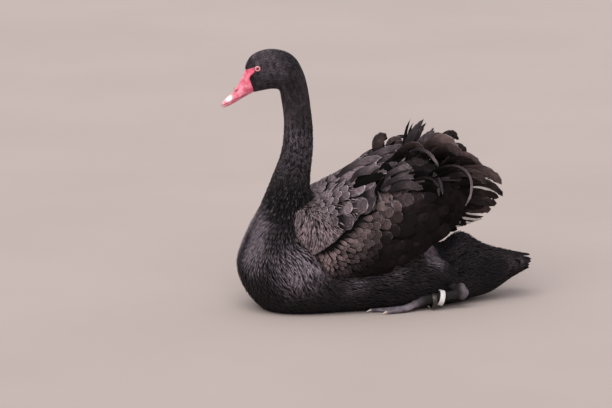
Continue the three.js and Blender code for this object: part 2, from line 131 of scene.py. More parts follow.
# Depths under the shell of the skin's outer and inner face.
WING_SKIN, SHOULDER_SKIN = (3.5 * MM, 7 * MM), (2.5 * MM, 7 * MM)
# The shoulder in the side view: a point within it, and its outline.
SHOULDER_MIDDLE = MM * np.array([-75, 205])
SHOULDER_OUTLINE = MM * np.array([
    [-154, 218], [-178, 203], [-190, 180], [-176, 150], [-152, 123], [-117, 150], [-89, 176],
    [-58, 205], [-36, 219], [-31, 240], [-14, 259], [12, 270], [22, 292], [0, 304], [-40, 280],
    [-90, 252],
])

# Loose inner feathers, in millimetres: four control points each (x, y outwards on the left, z),
# width, roll of the vane in degrees, and how pale it is.
CONTROLS, WIDTH, ROLL, PALE = slice(12), 12, 13, 14
# Grey feathers laid over the wing's rear.
TERTIALS = np.array([
    [-70, 62, 249, -42, 38, 264, -23, 63, 277, -11, 105, 269, 20, -25, 0.85],
    [-79, -20, 242, -49, -30, 260, -23, -22, 275, -2, 30, 286, 17, -30, 0.8],
    [-45, -23, 260, -12, -21, 281, 22, -23, 294, 44, 24, 307, 15, -30, 0.6],
    [-40, 77, 258, -20, 84, 270, 0, 83, 282, 14, 91, 286, 12, -20, 0.55],
    [32, 74, 293, 63, 62, 321, 82, 80, 300, 93, 92, 276, 7, 10, 0.7],
    [-22, 103, 257, 3, 103, 273, 26, 100, 284, 37, 111, 279, 12, -20, 0.65],
    [-22, 115, 246, 2, 119, 261, 24, 118, 271, 36, 128, 262, 12, -20, 0.55],
    [-11, 129, 237, 11, 127, 256, 32, 133, 253, 53, 131, 242, 17, -15, 0.4],
    [22, 115, 265, 66, 95, 280, 95, 97, 267, 91, 132, 230, 8, 12, 0.3],
    [25, 125, 253, 62, 111, 268, 89, 114, 257, 84, 132, 227, 7, 12, 0.25],
    [75, 102, 269, 155, 76, 297, 165, 128, 245, 135, 128, 205, 5, 8, 0.9],
    [65, 120, 248, 98, 104, 258, 130, 88, 252, 152, 90, 240, 9, 10, 0.5],
    [107, 95, 192, 121, 95, 179, 129, 95, 172, 135, 95, 166, 7, 0, 1.0],
    [-31, 122, 240, -29, 128, 235, -28, 132, 228, -27, 136, 222, 4, 10, 1.0],
    [-33, 140, 206, -31, 145, 200, -30, 147, 193, -30, 148, 188, 3.5, 10, 0.9],
    [-13, 133, 231, -10, 139, 225, -8, 142, 218, -7, 145, 212, 4, 10, 0.9],
    [-21, 137, 221, -19, 140, 217, -20, 143, 212, -21, 144, 207, 5, 10, 0.7],
])
RIGHT_TERTIALS = TERTIALS[4:10]        # the only ones that the right wing has too
# Black feathers put in the deep hollows between the pale ones of the left wing: painted
# shadow of the hollows.
HOLLOW_SHADOWS = np.array([
    [-69, 83, 243, -49, 89, 253, -31, 96, 260, -12, 102, 268, 19, -20, 0],
    [-13, 90, 271, 4, 89, 282, 24, 77, 292, 46, 60, 298, 15, -20, 0],
    [35, 120, 263, 51, 110, 268, 64, 112, 266, 79, 118, 252, 9, -10, 0],
    [43, 133, 240, 64, 124, 246, 78, 122, 245, 91, 126, 226, 16, 0, 0],
    [-34, 122, 231, -35, 115, 241, -26, 111, 250, -14, 106, 262, 8, 0, 0],
])
# Brown feathers that curl up and back as a fan.
CURLED = np.array([
    [-4, 85, 277, 31, 60, 308, 54, 62, 328, 70, 70, 299, 18, 20, 0.6],
    [62, 113, 262, 100, 92, 272, 128, 88, 270, 154, 88, 257, 16, 10, 0.2],
    [71, 62, 289, 87, 66, 327, 117, 66, 334, 133, 74, 294, 26, 10, 1.25],
    [84, 66, 281, 101, 74, 312, 128, 78, 317, 140, 84, 284, 22, 12, 0.7],
    [93, 52, 289, 107, 50, 326, 124, 48, 336, 141, 46, 326, 15, -10, 0.35],
    [102, 58, 287, 125, 58, 311, 141, 58, 313, 155, 60, 295, 14, 5, 0.45],
    [97, 78, 272, 133, 78, 300, 158, 78, 299, 179, 78, 267, 16, 15, 1.1],
    [106, 64, 271, 135, 62, 286, 152, 60, 288, 172, 58, 276, 16, 25, 0.5],
    [108, 92, 254, 158, 90, 274, 193, 84, 268, 218, 80, 234, 21, 10, 0.9],
    [111, 92, 243, 164, 88, 248, 196, 84, 244, 220, 80, 211, 17, 15, 0.35],
    [111, 92, 227, 164, 88, 226, 194, 82, 216, 213, 78, 209, 17, 0, 0.3],
    [111, 92, 213, 156, 88, 210, 188, 84, 200, 208, 82, 199, 20, 0, 0.35],
    [105, 92, 203, 145, 88, 194, 179, 84, 187, 197, 82, 188, 18, 0, 0.5],
    [118, 84, 189, 146, 82, 178, 166, 80, 171, 184, 78, 174, 6, 0, 0.25],
    [100, 92, 186, 119, 90, 174, 137, 88, 165, 149, 86, 161, 10, 0, 0.3],
    [71, 96, 197, 102, 94, 187, 127, 92, 177, 147, 90, 163, 15, 0, 0.05],
    [62, 98, 178, 87, 96, 169, 110, 94, 160, 129, 92, 153, 17, 0, 0.0],
    [81, 98, 208, 110, 96, 198, 132, 94, 191, 147, 92, 178, 15, 0, 0.1],
])
# Pointed feathers that stand on top.
POINTED_PLUMES = np.array([
    [57, 52, 280, 74, 50, 311, 85, 48, 327, 95, 46, 342, 21, 0, 0.7],
    [47, 56, 286, 65, 52, 312, 77, 48, 325, 84, 46, 335, 17, 5, 0.5],
    [35, 50, 288, 51, 46, 325, 62, 42, 343, 77, 40, 358, 20, 0, 0.4],
    [33, 46, 288, 40, 42, 322, 42, 40, 344, 52, 40, 360, 7, 0, 0.0],
])
# Curled feathers of the right wing alone.
FAR_PLUMES = np.array([
    [12, 30, 270, 0, 38, 300, 8, 44, 317, 25, 46, 310, 24, 0, 0.8],
    [0, 34, 269, 9, 40, 290, 14, 46, 303, 15, 50, 306, 18, 0, 0.6],
    [38, 30, 280, 25, 36, 296, 35, 42, 307, 56, 44, 301, 24, 0, 0.9],
    [45, 26, 283, 38, 30, 293, 45, 36, 303, 60, 40, 294, 18, 0, 0.7],
])
# The right wing's loose feathers lie a little further back and lower.
RIGHT_SHIFT = np.array([24, 0, -22] * 4 + [0, 0, 0])
# Tiers of tail feathers: first and last angle round the body, how many, station of their
# roots, x of their tips, and rise of the tips. The first tier is the uppermost.
TAIL_TIERS = ((-1.9, 1.9, 17, 20.2, 285, -1.0), (-1.8, 1.7625, 16, 19.7, 272, 0.5),
              (1.75, 2 * math.pi - 1.75, 13, 19.9, 280, -0.5))
# Inner vanes of the tail, at four control points: x, half width of their fan, and height.
TAIL_VANES = ((215, 14, 69), (240, 19, 69), (262, 24, 68), (283, 29, 67))
FLIGHT_WIDTH, TAIL_WIDTH, TAIL_VANE_WIDTH = 25 * MM, 19 * MM, 15 * MM
# White outer flight feathers: four control points of the first, how far those of each next one
# lie from them, the widths, and one more feather that shows between the loose ones.
PRIMARY = MM * np.array([[70, -62, 172], [113.355, -59.332, 176.002],
                         [153.981, -50.008, 172.006], [192, -34, 160]])
PRIMARY_STEP = MM * np.array([[0, 2, -1.5], [0, 2, -1.5], [-5, 1, -2.5], [-11, -1, -3]])
PRIMARY_WIDTHS = MM * np.array([17, 17, 17, 17, 17, 9])
LOOSE_WHITE = MM * np.array([[152, -84, 229], [170, -86, 232], [190, -82, 227], [210, -78, 213]])
# Rows of dark secondaries: share of the wing's length, first and last angle on the shell, how
# many, and their length.
FLIGHT_ROWS = ((0.34, -29, -18, 4, 92), (0.46, -28, 34, 10, 104), (0.62, -26, 58, 12, 92),
               (0.76, -24, 44, 9, 62), (0.64, 66, 152, 7, 64), (0.78, 62, 150, 7, 66))

# Bill stations: ridge x, ridge z, underside x, underside z, half width.
BILL = MM * np.array([
    [-253, 452, -241.5, 419, 13],
    [-257, 457, -242, 416, 15.5],
    [-265, 441.5, -251, 411.5, 14],
    [-273.5, 427, -262, 406, 12.8],
    [-284.5, 413, -275, 399, 12.2],
    [-294, 405, -287, 393, 11],
    [-300.3, 398.3, -295.5, 389.6, 8],
    [-302, 393, -299.6, 388.8, 3.5],
])
MOUTH_LINE = MM * np.array([[-236, 427], [-263, 413.5], [-283, 404.5], [-306, 391.5]])
NAIL_LINE = MM * np.array([[-285, 418], [-293.5, 396], [-297, 384]])
NOSTRIL = MM * np.array([-274.3, 11.2, 421.8])
EYE_CENTRE = MM * np.array([-236, 15.6, 463])
EYE_RADIUS, EYELID_REACH = 7.4 * MM, 4.6 * MM
EYE_OPENING = math.radians(26)        # angle between the eye's axis and the lids' edge
# Section of an eyelid: angle out from the rim of the opening, and height over the eyeball.
LID_LAP = np.array([0.0, 0.02, 0.06, 0.12, 0.2, 0.27, 0.33, 0.28, 0.14, 0.02])
LID_LIFT = MM * np.array([0.15, 0.65, 1.05, 1.15, 0.95, 0.65, 0.1, -0.6, -0.5, -0.2])
# Front edge of the face feathers in the side view: bare red skin lies before it.
FACE_EDGE = MM * np.array([
    [-262, 462], [-256, 459.5], [-250, 462.5], [-243.5, 465.5], [-240.5, 463], [-241, 458.5],
    [-246, 453], [-250, 448], [-251.5, 440], [-250, 433], [-245.5, 427], [-243.5, 419],
    [-243, 410], [-275, 405], [-285, 440],
])

# Legs and feet. Each toe has three points along it, the tip of its claw, and its half thickness
# at the root and at the tip.
KNEE = MM * np.array([96, 50, 58])
HEEL = MM * np.array([143, 87, 31])
TOE_BASE = MM * np.array([62, 89, 20])
PALM = MM * np.array([54, 89, 16])
TOES = {
    "outer": ([[52, 92, 17], [30, 98, 8], [-8, 104, 5]], [-18, 105, 1.5], 6.5, 4.2),
    "middle": ([[52, 89, 17], [30, 89, 8], [-32, 81, 5]], [-43, 79, 1.5], 6.5, 4.2),
    "inner": ([[52, 86, 17], [32, 80, 8], [-20, 62, 5]], [-30, 58.5, 1.5], 6, 4),
    "hind": ([[58, 84, 13], [66, 80, 9], [74, 77, 6]], [80, 75, 2.5], 4.2, 3),
}
TOE_RINGS, LEG_RINGS = 26, 24
LEG_VOXEL = 1.15 * MM                 # grain of the skin made over the leg's tubes
FOOT_GAP = 0.1 * MM                   # least height of the feet over the floor


# ---- numbers on whole arrays --------------------------------------------------------------------
def unit(vectors):
    """Vectors divided by their own lengths."""
    return vectors / np.maximum(np.linalg.norm(vectors, axis=-1, keepdims=True), 1e-12)


def dot(a, b):
    """Sum of the products of the coordinates, kept as a last axis of one."""
    return np.sum(a * b, axis=-1, keepdims=True)


def blend(a, b, share):
    """a where share is 0, b where it is 1, and a straight mix between."""
    return a + (b - a) * share


def ease(value, low, high):
    """0 below low, 1 above high, and 3t^2 - 2t^3 between."""
    t = np.clip((value - low) / (high - low), 0, 1)
    return t * t * (3 - 2 * t)


def around(count):
    """Angles of evenly spaced points round a ring."""
    return 2 * math.pi * np.arange(count) / count


def spline(rows, share):
    """Centripetal Catmull-Rom curve through the rows: a cubic between two rows whose end slopes
    come from four rows spaced by the square root of their distances. It goes straight on past
    its ends."""
    padded = np.vstack([2 * rows[0] - rows[1], rows, 2 * rows[-1] - rows[-2]])
    place = np.asarray(share, float) * (len(rows) - 1)
    first = np.clip(place.astype(int), 0, len(rows) - 2)
    p0, p1, p2, p3 = (padded[first + i] for i in range(4))
    d0, d1, d2 = (np.sqrt(np.linalg.norm(b - a, axis=-1, keepdims=True))
                  for a, b in ((p0, p1), (p1, p2), (p2, p3)))
    out = ((p1 - p0) / d0 - (p2 - p0) / (d0 + d1) + (p2 - p1) / d1) * d1
    into = ((p2 - p1) / d1 - (p3 - p1) / (d1 + d2) + (p3 - p2) / d2) * d1
    raw = (place - first)[..., None]
    w = np.clip(raw, 0, 1)
    cubic = (p1 + out * w + (3 * (p2 - p1) - 2 * out - into) * w ** 2
             + (2 * (p1 - p2) + out + into) * w ** 3)
    return cubic + (raw - w) * np.where(raw < 0, out, into)


def inside(outline, points):
    """Whether points lie inside the outline in the side view: an odd number of its edges pass
    over them."""
    x, z = points[..., 0], points[..., 2]
    crossings = np.zeros(x.shape, int)
    for (ax, az), (bx, bz) in zip(outline, np.roll(outline, -1, axis=0)):
        spans = (az > z) != (bz > z)
        crossings += spans & (x < ax + (z - az) * (bx - ax) / (bz - az + 1e-12))
    return crossings % 2 == 1


def distance_to(outline, points, closed=False):
    """Least distance of points from the outline's edges in the side view."""
    x, z = points[..., 0], points[..., 2]
    ends = np.roll(outline, -1, axis=0) if closed else outline[1:]
    least = np.full(x.shape, np.inf)
    for (ax, az), (bx, bz) in zip(outline, ends):
        dx, dz = bx - ax, bz - az
        t = np.clip(((x - ax) * dx + (z - az) * dz) / (dx * dx + dz * dz), 0, 1)
        least = np.minimum(least, np.hypot(x - ax - t * dx, z - az - t * dz))
    return least


def spread(count, seed=0.0):
    """Evenly scattered pairs in the unit square: multiples of the plastic number's powers."""
    steps = np.arange(1, count + 1)
    return (seed + steps * 0.7548776662) % 1, (seed * 1.7 + steps * 0.5698402910) % 1


def waves(points, size, seed):
    """Smooth random field from -1 to 1: five crossing sine waves about size long."""
    rng = np.random.default_rng(seed)
    x, y, z = points.T
    total = 0
    for _ in range(5):
        direction = unit(rng.normal(size=3)) * rng.uniform(0.7, 1.5) * 2 * math.pi / size
        phase = rng.uniform(0, 2 * math.pi)
        total = total + np.sin(x * direction[0] + y * direction[1] + z * direction[2] + phase)
    return total / 5


# ---- surfaces -----------------------------------------------------------------------------------
class Surface:
    """A surface given by a function point(u, v) of two arrays. u runs towards the tail between
    two limits, and the cross product of the u and v tangents points outwards."""

    STEP = 1e-3
    CELLS = 160, 181

    def __init__(self, point, limits):
        self.point = point
        self.limits = limits

    def frame(self, u, v):
        """Tangents along u and v and the outward normal, from differences."""
        du = (self.point(u + self.STEP, v) - self.point(u - self.STEP, v)) / (2 * self.STEP)
        dv = (self.point(u, v + self.STEP) - self.point(u, v - self.STEP)) / (2 * self.STEP)
        return du, dv, unit(np.cross(du, dv))

    def scatter(self, count, u_range, v_range, seed, size=((0,), (1,))):
        """Roots spread over a range of the surface, count in all, as dense as one over the
        square of their size, which is given by u: u goes by the running sum of the area, and v
        by the same sum within its row."""
        u_line, v_line = (np.linspace(*span, cells)
                          for span, cells in zip((u_range, v_range), self.CELLS))
        du, dv, _ = self.frame(*np.meshgrid(u_line, v_line, indexing="ij"))
        area = np.linalg.norm(np.cross(du, dv), axis=-1) + 1e-12
        rows = area.sum(1) / np.interp(u_line, *size) ** 2
        first, second = spread(count, seed)
        u = np.interp(first, np.cumsum(rows) / rows.sum(), u_line)
        sums = np.cumsum(area, axis=1)
        sums = (sums - sums[:, :1]) / (sums[:, -1:] - sums[:, :1])
        row = np.clip(np.searchsorted(u_line, u), 0, len(u_line) - 1)
        cell = np.array([np.searchsorted(sums[r], s) for r, s in zip(row, second)])
        cell = np.clip(cell, 1, len(v_line) - 1)
        low, high = sums[row, cell - 1], sums[row, cell]
        part = (second - low) / np.maximum(high - low, 1e-9)
        return u, blend(v_line[cell - 1], v_line[cell], part)


def oval(stations, share, fall, wide):
    """Points between the upper and the lower line of the stations: fall is the share of the way
    down, and wide that of the half width."""
    top = spline(stations[:, [0, 4, 1]], share)
    low = spline(np.column_stack([stations[:, 2], 0 * stations[:, 2], stations[:, 3]]), share)
    points = blend(top, low, fall[..., None])
    points[..., 1] = top[..., 1] * wide
    return points


def body_point(station, angle):
    """Lofted body: ovals from the back line to the belly line, sin(angle) wide, that fall by a
    power of (1 - cos(angle)) / 2, so that the trunk is widest low down."""
    pear = 1 + PEAR * ease(station, PEAR_FROM, PEAR_TO)
    fall = ((1 - np.cos(angle)) / 2) ** (1 / pear)
    return with_thighs(oval(BODY, station / LAST_STATION, fall, np.sin(angle)))


def with_thighs(points):
    """Points inside a thigh's ellipsoid are moved out from its centre onto it."""
    cos, sin = math.cos(THIGH_TILT), math.sin(THIGH_TILT)
    for side in (LEFT, RIGHT):
        centre = THIGH_CENTRE * (1, side, 1)
        away = points - centre
        turned = np.stack([away[..., 0] * cos - away[..., 2] * sin, away[..., 1],
                           away[..., 0] * sin + away[..., 2] * cos], -1) / THIGH_RADII
        reach = np.linalg.norm(turned, axis=-1, keepdims=True)
        push = np.where(reach < 1, 1 / np.maximum(reach, 0.5), 1)
        points = centre + away * push
    return points


def arch_point(table, share, angle):
    """Left wing or shoulder shell: over the crest a quarter oval as wide as the greatest y, and
    inside it a low one that falls to the midplane."""
    x, crest = np.moveaxis(spline(table[:, [0, 1]], share), -1, 0)
    low, crest_y, bulge = (spline(table[:, [0, c]], share)[..., 1] for c in (2, 3, 4))
    tall = (crest - low) / (1 - math.sin(ARCH_TO))
    outside = angle < math.pi / 2
    shallow, deep = ARCH_DROP[1]
    rise = np.where(outside, tall, blend(shallow, deep, ease(x, *ARCH_DROP[0])))
    reach = np.where(outside, bulge - crest_y, crest_y - ARCH_EDGE)
    y = np.maximum(crest_y + reach * np.cos(angle), ARCH_EDGE)
    return np.stack([x, -y, crest - rise + rise * np.sin(angle)], -1)


def arch_place(table, x, z):
    """Share and angle of the shell's point that the side view shows at x, z."""
    shares = np.linspace(0, 1, 400)
    share = np.interp(x, spline(table[:, [0, 1]], shares)[..., 0], shares)
    crest = spline(table[:, [0, 1]], share)[..., 1]
    low = spline(table[:, [0, 2]], share)[..., 1]
    tall = (crest - low) / (1 - math.sin(ARCH_TO))
    return share, np.arcsin(np.clip((z - crest + tall) / tall, -0.98, 0.98))


BODY_SURFACE = Surface(body_point, (0.01, LAST_STATION + 0.3))
WING_SURFACE = Surface(lambda share, angle: arch_point(WING, share, angle), (-0.05, 1.12))
SHOULDER_SURFACE = Surface(lambda share, angle: arch_point(SHOULDER, share, angle), (-0.05, 1.1))


# ---- feathers -----------------------------------------------------------------------------------
class Cut:
    """The plan of a feather: rings along it and points round each ring. width(s) is the vane's
    share of its full half width, from the root (0) to the tip (1)."""

    def __init__(self, rings, across, width, thick=0.0):
        self.along = np.linspace(0, 1, rings) ** 0.9
        top = np.linspace(-1, 1, across)
        self.across = np.concatenate([top, top[-2:0:-1]]) if thick else top
        under = np.arange(len(self.across)) >= across
        self.under = np.where(under, thick, 0.0) * (1 - np.abs(self.across) ** 4)
        self.width = width(self.along)


def tuft_width(s):
    """Half width of a narrow tuft: broad in the middle and fine at the tip."""
    return (0.45 + 1.6 * s * (1 - s)) * (1 - 0.93 * s ** 3)


def scale_width(s):
    """Half width of a body feather: it widens to a round end."""
    return (0.35 + 0.65 * ease(s, 0, 0.45)) * np.sqrt(np.maximum(1 - s ** 7, 0.0009))


def vane_width(s):
    """Half width of a flight feather: nearly even, with a blunt rounded tip."""
    return (0.3 + 0.7 * ease(s, 0, 0.25)) * np.sqrt(np.maximum(1 - s ** 9, 0.0009))


def pointed_width(s):
    """Half width of a pointed plume."""
    return (0.4 + 0.6 * ease(s, 0, 0.3)) * np.maximum(1 - s ** 3.2, 0.03)


HAIR = Cut(3, 3, tuft_width)
LANCE = Cut(7, 5, tuft_width)
TUFT = Cut(4, 3, tuft_width)
BROAD = Cut(10, 7, scale_width, 0.5 * MM)
VANE = Cut(16, 9, vane_width, 0.7 * MM)
POINTED = Cut(14, 7, pointed_width, 0.6 * MM)


def column(values, count):
    """Numbers for each feather, shaped to stand against rings and points of a ring."""
    return np.broadcast_to(np.asarray(values, float), (count,))[:, None, None]


def lay_feathers(surface, u, v, cut, length, width, turn=0.0, sink=0.0, rise=0.0, camber=0.2,
                 bend=0.0, floor=None):
    """Feathers laid on a surface. A shaft starts turned from the u tangent and walks ring by ring
    straight on over the surface; the vane's points lie square to it. Each point stands off the
    surface along the normal: sunk at the root, risen at the tip, arched across by camber and
    bent sideways by the square of the way along it."""
    count = len(u)
    length, width, turn, sink, rise, bend = (
        column(value, count) for value in (length, width, turn, sink, rise, bend))
    du, _, normal = surface.frame(u, v)
    ahead = unit(du)
    heading = ahead * np.cos(turn[:, 0]) + np.cross(normal, ahead) * np.sin(turn[:, 0])
    places = []
    for step in np.diff(cut.along, append=cut.along[-1]):
        du, dv, normal = surface.frame(u, v)
        heading = unit(heading - normal * dot(heading, normal))
        places.append(np.stack([u, v, *rates(du, dv, np.cross(normal, heading))], -1))
        on_u, on_v = rates(du, dv, heading)
        u = np.clip(u + on_u * step * length[:, 0, 0], *surface.limits)
        v = v + on_v * step * length[:, 0, 0]
    u, v, side_u, side_v = np.moveaxis(np.stack(places, 1), -1, 0)[..., None]
    s, w = cut.along[None, :, None], cut.across[None, None, :]
    half = width / 2 * cut.width[None, :, None]
    aside = half * w + bend * s ** 2
    u, v = np.clip(u + side_u * aside, *surface.limits), v + side_v * aside
    height = (-sink * (1 - s) ** 1.3 + rise * s ** 1.6 + camber * half * (1 - w ** 2)
              - cut.under[None, None, :])
    points = surface.point(u, v) + surface.frame(u, v)[2] * height[..., None]
    if floor is not None:
        points[..., 2] = np.maximum(points[..., 2], floor)
    return points


def rates(du, dv, direction):
    """How fast u and v change for one unit along a direction of the tangent plane."""
    e, f, g = np.sum(du * du, -1), np.sum(du * dv, -1), np.sum(dv * dv, -1)
    a, b = np.sum(direction * du, -1), np.sum(direction * dv, -1)
    area = np.maximum(e * g - f * f, 0.02 * e * g + 1e-12)
    return (g * a - f * b) / area, (e * b - f * a) / area


def free_feathers(line, face, cut, width, camber=0.15, frill=0.0, phase=0.0, lean=0.0, notch=0.0):
    """Feathers along free lines. line is an array of middle points and face the direction across
    the vane at each. The vane is arched across by camber, its edges wave by frill and are
    notched near the tip, and lean moves the shaft off the middle."""
    count = len(line)
    tangent = unit(np.gradient(line, axis=1))
    face = unit(face - tangent * dot(face, tangent))
    flat = np.cross(tangent, face)
    s, w = cut.along[None, :, None], cut.across[None, None, :]
    half = column(width, count) / 2 * cut.width[None, :, None]
    phase = column(phase, count)
    wave = frill * np.sin(17 * s + 2.2 * w + phase) * w ** 2
    half = half * (1 - notch * ease(s, 0.55, 0.9) * (
        0.5 + 0.5 * np.sin(41 * s + 4 * np.sign(w) + 3 * phase)))
    height = -camber * half * w ** 2 + wave * s - cut.under[None, None, :]
    side = half * (w + lean * (1 - w ** 2))
    return (line[:, :, None] + face[:, :, None] * side[..., None]
            + flat[:, :, None] * height[..., None])


def bezier(controls, along):
    """Cubic Bezier curves, one for each set of four control points."""
    t = along[None, :, None]
    a, b, c, d = (controls[:, i][:, None] for i in range(4))
    return ((1 - t) ** 3 * a + 3 * (1 - t) ** 2 * t * b + 3 * (1 - t) * t ** 2 * c + t ** 3 * d)


# ---- meshes -------------------------------------------------------------------------------------
BAKE_MAP = "OFBake"
VANE_MAP = "Vane"
TONE = "tone"
TUFT_PATCH = 0.003                    # width of a tuft's own place on the bake map
DOME_RINGS = 5


class Pile:
    """Closed tubes gathered into one mesh. Each group of tubes is an array of points (tubes,
    rings, points of a ring, 3) with its two UV maps and its number for each point."""

    def __init__(self, name):
        self.name = name
        self.points, self.maps, self.tones = [], {BAKE_MAP: [], VANE_MAP: []}, []
        self.loops, self.starts, self.shifts = [], [], []
        self.vertices = self.corners = 0

    def add(self, points, bake, vane, tone, wraps=False, loop=False):
        """Takes a group in. Faces run between neighbouring rings and over both ends, or from the
        last ring to the first where loop is set. Where wraps is set, the bake map's second
        number runs round the ring and closes at one."""
        tubes, rings, sides = points.shape[:3]
        index = np.arange(tubes * rings * sides).reshape(tubes, rings, sides)
        ahead = np.roll(index, -1, axis=1)
        near, far = (index, ahead) if loop else (index[:, :-1], index[:, 1:])
        quads = np.stack([near, np.roll(near, -1, axis=2), np.roll(far, -1, axis=2), far], -1)
        caps = np.concatenate([index[:, 0, ::-1], index[:, -1]])[:0 if loop else None]
        shift = np.zeros(quads.shape)
        if wraps:
            shift[:, :, -1, 1:3] = 1
        flat = points.reshape(-1, 3)
        corners = flat[quads.reshape(-1, 4)] - flat.mean(0)
        volume = np.sum(corners[:, 0] * np.cross(corners[:, 1], corners[:, 2] + corners[:, 3]))
        turn = slice(None, None, -1) if volume < 0 else slice(None)
        quads, shift, caps = (a.reshape(-1, a.shape[-1])[:, turn] for a in (quads, shift, caps))
        self.loops += [(quads + self.vertices).ravel(), (caps + self.vertices).ravel()]
        self.shifts += [shift.ravel(), np.zeros(caps.size)]
        self.starts += [self.corners + 4 * np.arange(len(quads)),
                        self.corners + quads.size + sides * np.arange(len(caps))]
        self.vertices += len(flat)
        self.corners += quads.size + caps.size
        self.points.append(flat)
        for name, values in ((BAKE_MAP, bake), (VANE_MAP, vane)):
            self.maps[name].append(np.broadcast_to(values, (tubes, rings, sides, 2)).reshape(-1, 2))
        self.tones.append(np.broadcast_to(tone, (tubes, rings, sides)).ravel())

    def add_feathers(self, points, cut, place, tone, patch):
        """Takes feathers in, each with a small patch of the bake map at its root's place."""
        vane = np.stack(np.broadcast_arrays(
            0.5 + 0.5 * cut.across[None, None, :], cut.along[None, :, None]), -1)
        bake = place[:, None, None, :] + column(patch, len(points))[..., None] * (vane - 0.5)
        self.add(points, bake, vane, column(tone, len(points)))

    def build(self, material, replaces=()):
        """Makes the mesh and its object at the origin, which rides on the bird and stands for
        the CAD nodes that it replaces."""
        mesh = bpy.data.meshes.new(self.name)
        loops = np.concatenate(self.loops).astype(np.int32)
        starts = np.concatenate(self.starts).astype(np.int32)
        mesh.vertices.add(self.vertices)
        mesh.vertices.foreach_set("co", np.concatenate(self.points).astype(np.float32).ravel())
        mesh.loops.add(len(loops))
        mesh.loops.foreach_set("vertex_index", loops)
        mesh.polygons.add(len(starts))
        mesh.polygons.foreach_set("loop_start", starts)
        mesh.polygons.foreach_set("use_smooth", np.ones(len(starts), bool))
        mesh.update(calc_edges=True)
        shift = np.concatenate(self.shifts)
        for name, values in self.maps.items():
            layer = mesh.uv_layers.new(name=name)
            flat = np.concatenate(values)[loops]
            if name == BAKE_MAP:
                flat[:, 1] += shift
            layer.uv.foreach_set("vector", flat.astype(np.float32).ravel())
        tones = mesh.attributes.new(TONE, "FLOAT", "POINT")
        tones.data.foreach_set("value", np.concatenate(self.tones).astype(np.float32))
        mesh.materials.append(material)
        piece = bpy.data.objects.new(self.name, mesh)
        bpy.context.scene.collection.objects.link(piece)
        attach(piece, ROOT_BODY)
        if replaces:
            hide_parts(*replaces)
        return piece


def feather_piece(name, cut, points, place, tone, patch, material, replaces=()):
    """A piece made of feathers of one cut."""
    pile = Pile(name)
    pile.add_feathers(points, cut, place, tone, patch)
    return pile.build(material, replaces)


def both(*stems):
    """Node names of the left and the right side."""
    return [f"{stem}_{side}" for side, _ in SIDES for stem in stems]


def mirrored(points, side):
    """Points of the left side, or their mirror image."""
    return points if side == LEFT else points * (1, -1, 1)


def add_tube(pile, points, tone=0.5, loop=False):
    """Takes one tube (rings, points of a ring, 3) in. Both of its maps give the share of its
    length and the share of the way round."""
    rings, sides = points.shape[:2]
    maps = np.stack(np.meshgrid(np.linspace(0, 1, rings), np.arange(sides) / sides,
                                indexing="ij"), -1)[None]
    pile.add(points[None], maps, maps, tone, wraps=True, loop=loop)


def swept(line, radii, sides=16, flat=1.0):
    """A tube along a line: circles of the given radii, squeezed sideways by flat, in the planes
    square to the line. Both ends close in a dome."""
    tangent = unit(np.gradient(line, axis=0))
    across = unit(np.cross([0.0, 0.0, 1.0], tangent) + [0, 1e-6, 0])
    up = np.cross(tangent, across)
    dome = np.linspace(0.05, 0.95, DOME_RINGS) * math.pi / 2
    before = line[0] - tangent[0] * radii[0] * np.cos(dome)[:, None]
    after = line[-1] + tangent[-1] * radii[-1] * np.cos(dome[::-1])[:, None]
    centres = np.vstack([before, line, after])
    sizes = np.concatenate([radii[0] * np.sin(dome), radii, radii[-1] * np.sin(dome[::-1])])
    ends = ((DOME_RINGS, DOME_RINGS), (0, 0))
    across, up = (np.pad(axis, ends, "edge") for axis in (across, up))
    angle = around(sides)
    ring = (across[:, None] * np.cos(angle)[None, :, None] * flat
            + up[:, None] * np.sin(angle)[None, :, None])
    return centres[:, None] + ring * sizes[:, None, None]


